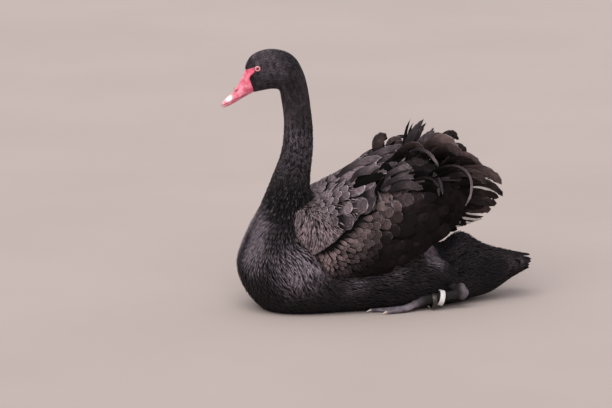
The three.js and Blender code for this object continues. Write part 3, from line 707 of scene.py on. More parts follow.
# ---- materials ----------------------------------------------------------------------------------
class Wire:
    """An output socket of a material. Sums of wires and numbers add Math nodes."""

    def __init__(self, tree, socket=None):
        self.tree = tree
        self.socket = socket

    def node(self, kind, inputs=None, output=0, stops=None, **settings):
        """Adds a node: first its settings and colour stops, then values or wires on its inputs,
        by name or number. Returns the wire of one of its outputs."""
        made = self.tree.nodes.new(kind)
        for key, value in settings.items():
            setattr(made, key, value)
        if stops:
            ramp = made.color_ramp.elements
            while len(ramp) < len(stops):
                ramp.new(1.0)
            for element, (position, colour) in zip(ramp, stops):
                element.position = position
                element.color = (*colour, 1)
        for key, value in (inputs or {}).items():
            if isinstance(value, Wire):
                self.tree.links.new(value.socket, made.inputs[key])
            else:
                made.inputs[key].default_value = value
        return Wire(self.tree, made.outputs[output])

    def math(self, operation, *others):
        """A Math node with this wire as its first value."""
        return self.node("ShaderNodeMath", dict(enumerate((self, *others))), operation=operation)

    def __add__(self, other):
        return self.math("ADD", other)

    def __sub__(self, other):
        return self.math("SUBTRACT", other)

    def __rsub__(self, other):
        return self.node("ShaderNodeMath", {0: other, 1: self}, operation="SUBTRACT")

    def __mul__(self, other):
        return self.math("MULTIPLY", other)

    def __pow__(self, other):
        return self.math("POWER", other)

    __radd__ = __add__
    __rmul__ = __mul__

    def ease(self, low, high):
        """Smooth step from 0 at low to 1 at high."""
        return self.node("ShaderNodeMapRange", {0: self, 1: low, 2: high},
                         interpolation_type="SMOOTHSTEP")

    def mix(self, first, second):
        """First colour where this wire is 0, second where it is 1."""
        return self.node("ShaderNodeMix", {0: self, 6: first, 7: second}, output=2,
                         data_type="RGBA")

    def near(self, centre, radius):
        """1 at a centre in metres, smoothly 0 a radius away. This wire is a place."""
        away = self.node("ShaderNodeVectorMath", {0: self, 1: centre}, output=1,
                         operation="DISTANCE")
        return 1 - away.ease(0.0, radius)

    def noise(self, scale, detail=2.0, rough=0.5):
        """Noise from about 0 to 1 over the place in this wire."""
        return self.node("ShaderNodeTexNoise", {
            "Vector": self, "Scale": scale, "Detail": detail, "Roughness": rough})

    def stretched(self, x, y, z):
        """The place in this wire with each coordinate multiplied."""
        return self.node("ShaderNodeVectorMath", {0: self, 1: (x, y, z)}, operation="MULTIPLY")

    def part(self, index):
        """One coordinate of a vector."""
        return self.node("ShaderNodeSeparateXYZ", {0: self}, output=index)

    def bump(self, strength, distance):
        """A normal that follows this wire as a height."""
        return self.node("ShaderNodeBump", {
            "Height": self, "Strength": strength, "Distance": distance})


def shade(colour):
    """A colour socket's value from red, green and blue."""
    return (*colour, 1.0)


def new_material(name, **constants):
    """A material with one Principled shader, whose constants are set on its own sockets.
    Returns the material, a bare wire to add nodes with, and a function that links inputs."""
    material = bpy.data.materials.new(name)
    material.use_nodes = True
    tree = material.node_tree
    shader = next(node for node in tree.nodes if node.type == "BSDF_PRINCIPLED")
    for key, value in constants.items():
        shader.inputs[key.replace("_", " ")].default_value = value

    def link(**wires):
        for key, wire in wires.items():
            tree.links.new(wire.socket, shader.inputs[key.replace("_", " ")])

    return material, Wire(tree), link


def object_place(start):
    """The place on the bird, in metres."""
    return start.node("ShaderNodeTexCoord", output=3)


def point_number(start):
    """The number that a mesh has for each of its points."""
    return start.node("ShaderNodeAttribute", output=2, attribute_name=TONE)


def vane_place(start):
    """Distance from the shaft, 1 at the vane's edge, and share of the way along it."""
    vane = start.node("ShaderNodeUVMap", uv_map=VANE_MAP)
    return (vane.part(0) - 0.5).math("ABSOLUTE") * 2, vane.part(1)


def tube_share(start):
    """Share of the way along a tube."""
    return start.node("ShaderNodeUVMap", uv_map=VANE_MAP).part(0)


# Painted sheen and painted shade of the black plumage, lighter where it is lit and darker
# where it is shaded: x, distance from the midplane, z, radius in millimetres, and how much
# lighter.
SHEEN_AND_SHADE_PLACES = (
    (-224, 10, 486, 50, 0.5), (-200, 26, 458, 30, 0.2), (-168, 26, 425, 34, -0.2),
    (-178, 12, 345, 50, 0.15), (-132, 4, 350, 60, -0.2), (-192, 48, 216, 58, 0.06),
    (-150, 30, 240, 40, -0.08),
    (-252, 40, 180, 62, 1.3), (-264, 56, 120, 62, 1.2), (-176, 100, 92, 74, 1.1),
    (-146, 112, 112, 46, 0.7), (2, 118, 88, 46, 0.4), (-70, 118, 60, 46, 0.35),
    (94, 70, 112, 50, 1.3), (142, 50, 124, 34, 0.4), (262, 36, 80, 34, 0.4),
    (200, 40, 50, 60, -0.1),
)


def both_sides(place):
    """A place moved to the bird's right side, for marks and painted light on both sides."""
    return place.node("ShaderNodeCombineXYZ", {
        0: place.part(0), 1: place.part(1).math("ABSOLUTE"), 2: place.part(2)})


def mottle(place):
    """Soft clouds of lighter and darker plumage."""
    return place.noise(38.0, 3.0, 0.6).ease(0.35, 0.7) * 0.35 + 0.75


def painted_light_and_mottle(place):
    """Painted sheen and shade that skin and coat share: how light the black is at a place of
    the body, lighter higher up and where lit, darker where shaded, under soft random clouds.
    """
    side = both_sides(place)
    # painted light from above: the higher the place, the lighter
    light = place.part(2).ease(0.03, 0.14) * 0.14 + place.part(2).ease(0.22, 0.34) * 0.22 + 0.14
    for x, y, z, radius, amount in SHEEN_AND_SHADE_PLACES:
        light = light + side.near((MM * x, MM * y, MM * z), MM * radius) * amount
    return light.math("MAXIMUM", 0.03) * mottle(place)


def feather_material(name, dark, light, edge, edge_amount, *, barbs, gloss, shine,
                     tips=(0.86, 0.99), place_light_and_mottle=mottle, root=0.3, rim=3):
    """A feather's finish. The vane's own map gives the way across and along it: fine slanted
    barbs on both sides of the shaft, and a rim of another colour round the outer end of the
    paler feathers, partly their own pale edge and partly a painted highlight along the barbs.
    place_light_and_mottle gives the light or dark of a place, root the painted shade at the
    vane's root, under the feather that lies over it, tips where along the vane its end rim
    starts and is full, and a lower rim power a wider rim."""
    material, start, link = new_material(
        name, Specular_IOR_Level=shine, Sheen_Weight=0.15 * shine, Sheen_Roughness=0.4,
        Sheen_Tint=shade((0.8, 0.8, 0.9)))
    tone, place = point_number(start), object_place(start)
    across, along = vane_place(start)
    barb = (along * barbs + across * (barbs * 0.35)).math("SINE") * 0.5 + 0.5
    arcs = ((along - across ** 2 * 0.22) * 26.0).math("SINE") * 0.12 + 1.0
    worn = place.noise(420.0, 2.0)
    # painted shade at the vane's root, under the feather that lies over it
    lightness = (place_light_and_mottle(place) * (0.04 + tone * 1.5) * (0.86 + barb * 0.28) * arcs
                 * (0.7 + worn * 0.6) * (root + along.ease(0.15, 0.7) * (1.05 - root)))
    body = (lightness ** 1.5).mix(shade(dark), shade(light))
    # rim: partly the feather's own pale edge, partly a painted highlight along the barbs
    outer = (across ** rim * along.ease(0.35, 0.7)).math("MAXIMUM", along.ease(*tips))
    rim_and_highlight = outer.ease(0.45, 0.95) * (tone * 2.0).math("MINIMUM", 1.0) * edge_amount
    link(Base_Color=rim_and_highlight.mix(body, shade(edge)),
         Roughness=gloss + worn * 0.25,
         Normal=(barb + worn).bump(0.35, 0.0004))
    return material


def skin_material():
    """Skin under the feathers, black as they are, and red and finely wrinkled where it is bare."""
    material, start, link = new_material("Swan skin", Roughness=0.7, Specular_IOR_Level=0.1)
    place = object_place(start)
    bare = point_number(start)
    # the black skin takes the same painted sheen and shade as the plumage
    black = painted_light_and_mottle(place).ease(0.0, 1.4).mix(shade((0.002, 0.0015, 0.0018)),
                                                    shade((0.02, 0.016, 0.018)))
    link(Base_Color=bare.mix(black, bill_colour(place)),
         Normal=(place.noise(900.0, 2.0) * bare).bump(0.3, 0.0004))
    return material


def bill_colour(place):
    """Mottled red and pink of the bill and the bare face."""
    cloud = place.noise(95.0, 4.0, 0.65)
    return cloud.node("ShaderNodeValToRGB", {0: cloud}, stops=(
        (0.3, (0.54, 0.055, 0.10)), (0.48, (0.73, 0.14, 0.215)), (0.62, (0.86, 0.31, 0.40)),
        (0.78, (0.62, 0.075, 0.13))))


# ---- settings -----------------------------------------------------------------------------------
def length_setting(name, default, description):
    return bpy.props.FloatProperty(name=name, default=default, min=0.0, unit="LENGTH",
                                   description=description)


def count_setting(name, default, description):
    return bpy.props.IntProperty(name=name, default=default, min=1, description=description)


def colour_setting(name, default, description):
    return bpy.props.FloatVectorProperty(name=name, default=default, size=3, subtype="COLOR",
                                         min=0.0, max=1.0, description=description)


class SwanPlumage(bpy.types.PropertyGroup):
    """Sizes, numbers and colours of the feathers."""

    head_tufts: count_setting("Head tufts", 11000, "Tufts on the head")
    neck_tufts: count_setting("Neck tufts", 9600, "Tufts on the neck")
    breast_tufts: count_setting("Breast tufts", 8200, "Tufts on the breast")
    flank_tufts: count_setting("Flank tufts", 7200, "Tufts on the flanks and belly")
    rump_tufts: count_setting("Rump tufts", 5200, "Tufts on the rump and tail")
    face_length: length_setting("Face tuft", 0.0024, "Length of a tuft on the face")
    neck_length: length_setting("Neck tuft", 0.0095, "Length of a tuft on the neck")
    breast_length: length_setting("Breast tuft", 0.015, "Length of a tuft on the breast")
    rump_length: length_setting("Rump tuft", 0.022, "Length of a tuft on the rump")
    black: colour_setting("Black", (0.006, 0.0045, 0.005), "Darkest colour of the plumage")
    grey: colour_setting("Grey", (0.27, 0.222, 0.26), "Lightest colour of the plumage")
    brown: colour_setting("Brown", (0.228, 0.158, 0.16), "Lightest colour of the wings")
    # pale rim: partly the feathers' own pale edge, partly a painted highlight along the barbs
    fringe_and_highlight: colour_setting("Fringe", (0.5, 0.42, 0.45), "Pale rim of the shoulder feathers")
    white: colour_setting("White", (0.78, 0.75, 0.72), "Colour of the outer flight feathers")


class SwanBareParts(bpy.types.PropertyGroup):
    """Colours of the eyes, eyelids, legs and claws."""

    iris: colour_setting("Iris", (0.36, 0.05, 0.045), "Colour of the iris")
    lid: colour_setting("Lid", (0.8, 0.42, 0.46), "Colour of the eyelids")
    leg: colour_setting("Leg", (0.29, 0.245, 0.285), "Lightest colour of the legs and feet")
    claw: colour_setting("Claw", (0.62, 0.5, 0.46), "Colour of the claws' tips")


class SwanStage(bpy.types.PropertyGroup):
    """Floor, light and camera."""

    floor: colour_setting("Floor", (0.50, 0.42, 0.395), "Colour of the floor")
    sky: bpy.props.FloatProperty(name="Sky", default=1.0, min=0.0,
                                 description="Strength of the even light from all sides")
    lens: bpy.props.FloatProperty(name="Lens", default=247.7, min=1.0, unit="CAMERA",
                                  description="Focal length in millimetres")


def settings():
    """The plumage's settings."""
    return bpy.context.scene.swan_plumage


# ---- skin ---------------------------------------------------------------------------------------
def build_skin():
    """Skin of the body, the wings and the shoulders, deeper where the plumage is thicker."""
    pile = Pile("skin")
    station = np.concatenate([np.linspace(0.02, 3, 130), np.linspace(3.03, 5.4, 60),
                              np.linspace(5.5, 9, 60), np.linspace(9.1, SKIN_END, 120)])
    u, v = np.meshgrid(station, around(176), indexing="ij")
    depth = np.interp(u, *COAT_DEPTH)
    points = body_point(u, v) - BODY_SURFACE.frame(u, v)[2] * depth[..., None]
    points[..., 2] = np.maximum(points[..., 2], SKIN_GAP)
    bare = is_bare(points, u).astype(float)
    socket = 1 - ease(from_eye(points), 4.5 * MM, 7.5 * MM)
    points[..., 1] -= np.sign(points[..., 1]) * socket * 1.2 * MM
    maps = np.stack([u / LAST_STATION, v / (2 * math.pi)], -1)[None]
    pile.add(points[None], maps, maps, bare[None], wraps=True)
    share = np.linspace(0.01, 0.985, 60)
    arc = np.linspace(ARCH_FROM, ARCH_TO + 0.03, 40)
    for _, side in SIDES:
        outer, inner = (shell_layer(share, arc, depth) for depth in WING_SKIN)
        ring = np.concatenate([outer, inner[:, ::-1]], 1)
        add_tube(pile, mirrored(ring, side), tone=0.0)
        add_tube(pile, mirrored(shoulder_pillow(), side), tone=0.0)
    pile.build(skin_material(), ("head", "neck_upper", "neck_lower", "trunk", "tail",
                                            *both("wing", "shoulder")))


def is_bare(points, station):
    """Whether points of the body lie on the bare face, which ends at the crown."""
    return inside(FACE_EDGE, points) & (station < CROWN)


def from_eye(points):
    """Distance from the eye's middle in the side view."""
    return np.hypot(points[..., 0] - EYE_CENTRE[0], points[..., 2] - EYE_CENTRE[2])


def shell_layer(share, arc, depth):
    """Points of the wing's shell, moved in along its normal."""
    u, v = np.meshgrid(share, arc, indexing="ij")
    return arch_point(WING, u, v) - WING_SURFACE.frame(u, v)[2] * depth


def shoulder_pillow():
    """Flesh of the shoulder: rings shrink from the outline to its middle on the outside, then
    widen again on the inside, nearer the wing."""
    turn = np.linspace(0, 1, 90, endpoint=False)
    closed = np.vstack([SHOULDER_OUTLINE, SHOULDER_OUTLINE[:1]])
    edge = spline(closed, turn) - SHOULDER_MIDDLE
    outer, inner = np.linspace(0.02, 0.95, 16), np.linspace(0.93, 0.02, 12)
    sizes = np.concatenate([outer, inner])
    behind = np.arange(len(sizes)) >= len(outer)
    flat = SHOULDER_MIDDLE + edge[None] * sizes[:, None, None]
    share, arc = arch_place(SHOULDER, flat[..., 0], flat[..., 1])
    skin, back = SHOULDER_SKIN
    depth = np.where(behind, back, skin + 3 * MM * sizes ** 6)
    points = arch_point(SHOULDER, share, arc)
    return points - SHOULDER_SURFACE.frame(share, arc)[2] * depth[:, None, None]


# ---- coat of the body ---------------------------------------------------------------------------
def unwrap(u, v, u_range, v_range):
    """Roots' places on the skin's own unwrap, the range of the piece filling the square."""
    return 0.01 + 0.98 * np.stack([(u - u_range[0]) / (u_range[1] - u_range[0]),
                                   (v - v_range[0]) / (v_range[1] - v_range[0])], -1)


def build_coat(part, count, cut, u_range, v_range, seed, shape, keep=None, size=((0,), (1,)),
               gloss=0.5, barbs=9.0, root=0.5):
    """The coat of a part of the body: tufts scattered over a range of its surface. shape gives
    each tuft's length, width, turn, sink, rise, camber, bend and tone; keep says which stay.
    Tufts torn over a crease of the surface are left out."""
    rng = np.random.default_rng(seed)
    u, v = BODY_SURFACE.scatter(count, u_range, v_range, seed * 0.137, size)
    if keep is not None:
        chosen = keep(u, v, BODY_SURFACE.point(u, v))
        u, v = u[chosen], v[chosen]
    form = shape(u, v, BODY_SURFACE.point(u, v), rng)
    tone = np.clip(form.pop("tone") + 0.12 * rng.standard_normal(len(u)), 0.0, 1.0)
    points = lay_feathers(BODY_SURFACE, u, v, cut, floor=FLOOR_GAP, **form)
    step = np.linalg.norm(np.diff(points, axis=1), axis=-1).max((1, 2))
    whole = step < 0.85 * form["length"]
    look = settings()
    material = feather_material(
        f"{part.title()} feather", look.black, look.grey, look.grey, 0.12, barbs=barbs,
        gloss=gloss, shine=0.12, place_light_and_mottle=painted_light_and_mottle, root=root)
    feather_piece(f"coat_{part}", cut, points[whole], unwrap(u, v, u_range, v_range)[whole],
                  tone[whole], TUFT_PATCH, material)


def head_shape(u, v, root, rng):
    """Tufts of the head: shortest round the bill, longer towards the nape."""
    length = settings().face_length * np.interp(u, [0, 2, 4, 5.7], [1, 1.25, 1.8, 2.9])
    spin = rng.standard_normal(len(u))
    return {"length": length, "width": length * 0.42, "turn": 0.16 * spin, "sink": 0.9 * MM,
            "rise": 0.25 * MM + 0.06 * length, "camber": 0.3,
            "bend": 0.08 * length * rng.standard_normal(len(u)),
            "tone": 0.5 + 0.25 * waves(root, 14 * MM, 2)}


def head_keeps(u, v, root):
    """Tufts stay off the bare face and the eyelids."""
    return ~is_bare(root, u) & (from_eye(root) > EYELID_REACH)


def neck_shape(u, v, root, rng):
    """Ruffled tufts of the neck, standing in wavy furrows that wind down it."""
    count = len(u)
    furrow = (0.6 * np.sin(15 * v + 2.0 * u + 2.5 * waves(root, 32 * MM, 4))
              + 0.7 * waves(root, 13 * MM, 8))
    level = ease(u, 7.2, 8.0) * ease(-np.cos(v), -0.3, 0.5)
    furrow = blend(furrow, 0.5 * ripples(root), level)
    ruffle = ease(u, 5.3, 6.6)
    length = settings().neck_length * np.interp(u, [5, 6, 8.5], [0.62, 1, 1.3])
    return {"length": length, "width": length * 0.33,
            "turn": (0.12 + 0.26 * ruffle) * rng.standard_normal(count) + 0.35 * ruffle * furrow,
            "sink": 2.2 * MM, "rise": (0.4 + ruffle * (0.9 + 1.2 * furrow)) * MM,
            "camber": 0.5, "bend": 0.12 * length * rng.standard_normal(count),
            # tone follows the furrows: painted shade in them and painted light on the ridges
            # between
            "tone": with_neck_base_shadow(root, 0.48 + ruffle * (
                0.65 * furrow + 0.2 * rng.standard_normal(count)))}


def away_from(centre, root, tall=1):
    """Distance from a place before the middle, or from its mirror image; tall stretches the
    reach upwards."""
    return np.linalg.norm((np.abs(root) * (-1, 1, 1) - centre) / (1, 1, tall), axis=1)


def with_neck_base_shadow(root, tone):
    """Tone of the coat with the neck's base darkened to black, a painted shadow between the neck
    and the wing, but for short pale wisps.
    """
    wisps = ease(waves(root, 7 * MM, 6), 0.25, 0.6)
    # painted shadow at the neck's base, between the neck and the wing
    black = 1 - ease(away_from(NECK_BASE, root), 26 * MM, 62 * MM)
    return blend(tone, 0.04 + 0.9 * wisps, black)


def neck_keeps(u, v, root):
    """Tufts thin out towards the breast, except at the back between the shoulders."""
    last = 8.9 - 0.8 * np.random.default_rng(9).random(len(u))
    return (np.abs(v) < 0.6) | (u < last)


def ripples(root):
    """Wavy level bands over the lower neck and the breast, from -1 to 1."""
    return np.sin(root[:, 2] / (9 * MM) * 2 * math.pi + 2.2 * waves(root, 60 * MM, 7))


def breast_shape(u, v, root, rng):
    """Soft tufts of the breast, in low ripples across it, and longer, loose and hanging on the
    breast's sides."""
    count = len(u)
    ripple = ripples(root)
    loose = 1 - ease(away_from(BREAST_SIDE, root, 0.9), 25 * MM, 70 * MM)
    length = settings().breast_length * np.interp(u, [8, 10, 14], [0.8, 1, 1.25])
    length = length * (1 + 0.35 * loose)
    ripple = ripple * (1 - loose)
    return {"length": length, "width": length * 0.24,
            "turn": (0.14 + 0.2 * loose) * rng.standard_normal(count)
                    + np.sign(root[:, 1]) * 0.95 * loose,
            "sink": 4.5 * MM, "rise": (0.4 + 0.9 * ripple + 2.4 * loose * rng.random(count)) * MM,
            "camber": 0.35, "bend": 0.1 * length * rng.standard_normal(count),
            # tone follows the ripples: painted light on their crests and painted shade in their
            # dips
            "tone": with_neck_base_shadow(root, 0.5 + 0.28 * ripple + loose * (
                0.3 * waves(root, 16 * MM, 9) + 0.12 * rng.standard_normal(count)))}


def flank_shape(u, v, root, rng):
    """Long smooth tufts of the flanks and the belly."""
    count = len(u)
    length = settings().breast_length * np.interp(u, [13, 15, 18.5], [1.3, 1.5, 1.4])
    return {"length": length, "width": length * 0.22, "turn": 0.16 * rng.standard_normal(count),
            "sink": 4.5 * MM, "rise": 0.8 * MM, "camber": 0.3,
            "bend": 0.1 * length * rng.standard_normal(count),
            "tone": 0.5 + 0.25 * waves(root, 24 * MM, 5)}


def rump_shape(u, v, root, rng):
    """Ruffled tail coverts, standing loose on top and tight below and at the tip."""
    count = len(u)
    loose = (1 - ease(u, 19.5, 21.5)) * (0.35 + 0.65 * ease(np.cos(v), -0.2, 0.8))
    loose = loose * ease(root[:, 0], 108 * MM, 134 * MM)
    length = settings().rump_length * np.interp(u, [17, 20, 22], [1, 1.1, 1.2])
    return {"length": length, "width": length * 0.2,
            "turn": (0.15 + 0.25 * loose) * rng.standard_normal(count),
            "sink": 4.2 * MM, "rise": (0.6 + 3.2 * loose * rng.random(count)) * MM, "camber": 0.35,
            "bend": 0.12 * length * rng.standard_normal(count),
            "tone": 0.5 + 0.3 * waves(root, 20 * MM, 6)}


# ---- wing and shoulder feathers -----------------------------------------------------------------
def thinned(points, gap):
    """Which of many points to keep so that no two kept ones are nearer than their gap."""
    kept = []
    for i, point in enumerate(points):
        if not kept or np.all(np.sum((points[kept] - point) ** 2, 1) > gap[i] ** 2):
            kept.append(i)
    return np.array(kept)


def room(place):
    """Widest patch that each of a few large feathers can have on the bake map, with no overlap."""
    away = np.abs(place[:, None] - place[None]).max(-1) + np.eye(len(place))
    return np.clip(0.9 * away.min(1), TUFT_PATCH, 0.05)


def arch_unwrap(u, v):
    """Roots' places on the unwrap of the wing's or the shoulder's shell."""
    return unwrap(u, v, (-0.1, 1.1), (ARCH_TO - 0.1, ARCH_FROM + 0.1))


def wing_roots(surface, count, u_range, v_range, seed, gap_of, region):
    """Roots on a wing's surface that lie in a region of it, thinned to a gap by place."""
    u, v = surface.scatter(count, u_range, v_range, seed)
    chosen = region(surface.point(u, v))
    u, v = u[chosen], v[chosen]
    root = surface.point(u, v)
    kept = thinned(root, gap_of(root))
    return u[kept], v[kept], root[kept]


def frontness(root):
    """1 on the shoulder's front and lower part, where the feathers are fine streaks, and 0 on
    the rest, where they are scales."""
    return ease((225 * MM - root[:, 2]) * 0.75 - (root[:, 0] + 150 * MM), -12 * MM, 12 * MM)


def shoulder_gap(root):
    """Least distance between the roots of the shoulder's scales."""
    return blend(8 * MM, 22 * MM, ease(root[:, 0] - 0.4 * root[:, 2], -224 * MM, -160 * MM))


def from_lower_edge(root):
    """Distance from the shoulder's lower and rear edge, in the side view."""
    return distance_to(SHOULDER_OUTLINE[3:11], root)


def lay_shoulder_feathers(share, arc, cut, length, **form):
    """Feathers laid on the shoulder three times over, each time shortened where a tip passes
    the shoulder's lower edge."""
    for _ in range(3):
        points = lay_feathers(SHOULDER_SURFACE, share, arc, cut, length, **form)
        tip = points[:, -1].mean(1)
        past = distance_to(SHOULDER_OUTLINE, tip, closed=True) * ~inside(SHOULDER_OUTLINE, tip)
        past = past * ease(tip[:, 2], 268 * MM, 256 * MM)
        length = length - np.minimum(1.1 * past, 0.8 * length)
    return points


def over_midline(points, arc):
    """Feathers of the left wing, the innermost of them moved in to meet the right wing's."""
    return points + ease(arc, 2.3, 2.7)[:, None, None, None] * MM * np.array([0, 5, 0])


def build_shoulders():
    """Fine streaked feathers on the front of each shoulder and pale-rimmed scales behind."""
    look = settings()
    scaly = feather_material(
        "Shoulder feather", look.black, (0.21, 0.158, 0.18), look.fringe_and_highlight, 0.8, barbs=44.0,
        gloss=0.6, shine=0.05, tips=(0.84, 0.97), root=0.15, rim=2)
    streaked = feather_material(
        "Shoulder streak", look.black, (0.36, 0.272, 0.29), look.fringe_and_highlight, 0.3, barbs=8.0,
        gloss=0.65, shine=0.05, tips=(0.8, 1.0), root=0.1)
    for name, side in SIDES:
        rng = np.random.default_rng(31 + side)
        build_scales(name, side, rng, scaly)
        build_streaks(name, side, rng, streaked)


def build_scales(name, side, rng, material):
    """Broad round-ended feathers of one shoulder, darker towards its lower edge."""
    share, arc, root = wing_roots(
        SHOULDER_SURFACE, 9000, (0, 1), (ARCH_TO, ARCH_FROM), 0.2, shoulder_gap,
        lambda root: inside(SHOULDER_OUTLINE, root) & (frontness(root) < 0.75)
        & (from_lower_edge(root) > 0.2 * shoulder_gap(root)) & (root[:, 0] < -6 * MM))
    ridge = ease(arc, math.radians(35), math.radians(78))
    gap = shoulder_gap(root)
    count = len(gap)
    turn = -np.radians(blend(52, 4, ridge)) * (1 - 0.35 * ease(root[:, 0], -100 * MM, 0))
    turn = turn + 0.22 * rng.standard_normal(count)
    rise = rng.uniform(0.8, 2.0, count) * MM
    bend = 0.1 * gap * rng.standard_normal(count)
    length = gap * rng.uniform(2.0, 2.5, count)
    width = gap * rng.uniform(1.7, 2.1, count)
    points = lay_shoulder_feathers(share, arc, BROAD, length, width=width, turn=turn,
                                   sink=3.5 * MM, rise=rise, camber=0.06, bend=bend)
    points = over_midline(points, arc)
    place = arch_unwrap(share, arc)
    tone = (rng.uniform(0.2, 0.42, count) + 0.25 * ridge) * (
        0.45 + 0.55 * ease(from_lower_edge(root), 4 * MM, 48 * MM))
    feather_piece(f"shoulder_scales_{name}", BROAD, mirrored(points, side), place, tone,
                  room(place), material)


def build_streaks(name, side, rng, material):
    """Fine feathers on the front of one shoulder, that lie and stand in locks."""
    share, arc = SHOULDER_SURFACE.scatter(3800, (0, 0.62), (ARCH_TO, math.radians(125)), 0.3)
    root = SHOULDER_SURFACE.point(share, arc)
    chosen = inside(SHOULDER_OUTLINE, root) & (
        frontness(root) > rng.uniform(-0.1, 0.6, len(root)))
    share, arc, root = share[chosen], arc[chosen], root[chosen]
    count = len(share)
    front = ease(root[:, 0], -130 * MM, -182 * MM)
    lock = waves(root, 11 * MM, 3)
    length = rng.uniform(15, 27, count) * MM
    turn = -np.radians(62 + 40 * front) + 0.16 * rng.standard_normal(count) + 0.3 * lock
    rise = (0.6 + 2.4 * rng.random(count) ** 2 + 1.0 * lock) * MM
    bend = 0.12 * length * rng.standard_normal(count)
    points = lay_shoulder_feathers(share, arc, LANCE, length, width=2.7 * MM, turn=turn,
                                   sink=4 * MM, rise=rise, camber=0.4, bend=bend)
    tone = np.clip(0.4 + 0.5 * lock + 0.28 * rng.standard_normal(count), 0, 1)
    feather_piece(f"shoulder_streaks_{name}", LANCE, mirrored(points, side),
                  arch_unwrap(share, arc), tone, TUFT_PATCH, material)


def covert_gap(root):
    """Least distance between the roots of the coverts: they grow larger towards the rear."""
    x, gap = MM * np.array([[-130, -60, -10, 60], [5, 8, 16, 22]])
    return np.interp(root[:, 0], x, gap)


def build_coverts():
    """Wing coverts in rows that grow towards the rear, small and brown in front."""
    look = settings()
    material = feather_material(
        "Wing covert", look.black, look.brown, look.fringe_and_highlight, 0.5, barbs=36.0, gloss=0.6,
        shine=0.05, tips=(0.86, 0.97), root=0.5, rim=2)
    for name, side in SIDES:
        rng = np.random.default_rng(47 + side)
        share, arc, root = wing_roots(
            WING_SURFACE, 9000, (0.02, 0.66), (ARCH_TO, ARCH_FROM), 0.4, covert_gap, off_shoulder)
        gap, count = covert_gap(root), len(root)
        rear = ease(share, 0.35, 0.6)
        broad = blend(1.3, 1.9, ease(root[:, 0], -95 * MM, -35 * MM))
        points = lay_feathers(
            WING_SURFACE, share, arc, BROAD, length=gap * rng.uniform(2.2, 3.0, count),
            width=gap * broad,
            turn=-np.radians(blend(34, 0, rear)) + 0.14 * rng.standard_normal(count),
            sink=1.4 * MM, rise=rng.uniform(0.4, 1.8, count) * MM, camber=0.04,
            bend=0.1 * gap * rng.standard_normal(count))
        points = over_midline(points, arc)
        place = arch_unwrap(share, arc)
        fore = (ease(root[:, 0] - 0.89 * root[:, 2], -146 * MM, -240 * MM)
                * (1 - 0.95 * ease(root[:, 0], -5 * MM, 38 * MM))
                * (1 + 0.3 * ease(root[:, 0], -95 * MM, -125 * MM)))
        # painted shade: the coverts darken towards the wing's lower edge
        edge = spline(WING[:, [0, 2]], share)[:, 1]
        fade = blend(10, 34, ease(root[:, 0], -110 * MM, -50 * MM)) * MM
        above = ease(root[:, 2] - edge, -6 * MM, fade)
        feather_piece(f"wing_coverts_{name}", BROAD, mirrored(points, side), place,
                      rng.uniform(0.24, 0.5, count) * fore * above, room(place), material)


def off_shoulder(root):
    """Outside the shoulder, and off a narrow band under its lower edge."""
    x = root[:, 0]
    band = (x < -42 * MM) & (from_lower_edge(root) < 7.5 * MM * ease(x, -150 * MM, -125 * MM))
    return ~inside(SHOULDER_OUTLINE, root) & ~band


def dark_feather_material(name):
    """Finish of the nearly black feathers of the wings and the tail."""
    return feather_material(name, (0.002, 0.0014, 0.0015), (0.023, 0.016, 0.0175),
                            (0.10, 0.08, 0.08), 0.35, barbs=70.0, gloss=0.5, shine=0.02,
                            tips=(0.97, 1.0))


def build_flight_feathers():
    """Long dark secondaries along the rear and the lower edge of each wing, laid like shingles."""
    material = dark_feather_material("Flight feather")
    for name, side in SIDES:
        rng = np.random.default_rng(61 + side)
        rows = []
        for start, low, high, count, long in FLIGHT_ROWS:
            for i in range(count):
                arc = math.radians(blend(low, high, i / (count - 1))) + 0.02 * rng.normal()
                share = start + 0.05 * (i / count) + 0.015 * rng.normal()
                length = long * MM * rng.uniform(0.94, 1.08)
                rows.append((share, arc, length, rng.uniform(-0.5, 1.0) * MM))
        share, arc, length, rise = map(np.array, zip(*sorted(rows)))
        turn = np.radians(6) * ease(share, 0.4, 0.8) + 0.05 * rng.standard_normal(len(share))
        points = lay_feathers(WING_SURFACE, share, arc, VANE, length, FLIGHT_WIDTH, turn,
                              sink=3.5 * MM, rise=rise, camber=0.12)
        points = over_midline(points, arc)
        place = arch_unwrap(share, arc)
        feather_piece(f"flight_feathers_{name}", VANE, mirrored(points, side), place,
                      rng.uniform(0.15, 0.5, len(share)), room(place), material)


def strewn(table, copies, rng):
    """The feathers of a table, and looser copies of them: moved, shortened and narrower."""
    rows = [table]
    for _ in range(copies):
        more = table.astype(float)
        points = more[:, CONTROLS].reshape(-1, 4, 3)
        count = len(more)
        points = blend(points[:, :1], points, rng.uniform(0.72, 0.97, (count, 1, 1)))
        points = points + rng.normal(0, 5, (count, 1, 3)) + rng.normal(0, 3, (count, 4, 3))
        more[:, CONTROLS] = points.reshape(count, -1)
        more[:, WIDTH] *= rng.uniform(0.65, 0.95, count)
        more[:, ROLL] += 18 * rng.standard_normal(count)
        more[:, PALE] *= rng.uniform(0.1, 0.8, count)
        rows.append(more)
    return np.vstack(rows)


def rolled_faces(line, roll):
    """Across direction of a vane: upright and square to the line, then turned about it."""
    tangent = unit(np.gradient(line, axis=1))
    face = unit(np.stack([-tangent[..., 2], 0 * tangent[..., 0], tangent[..., 0]], -1))
    return face * np.cos(roll) + np.cross(tangent, face) * np.sin(roll)


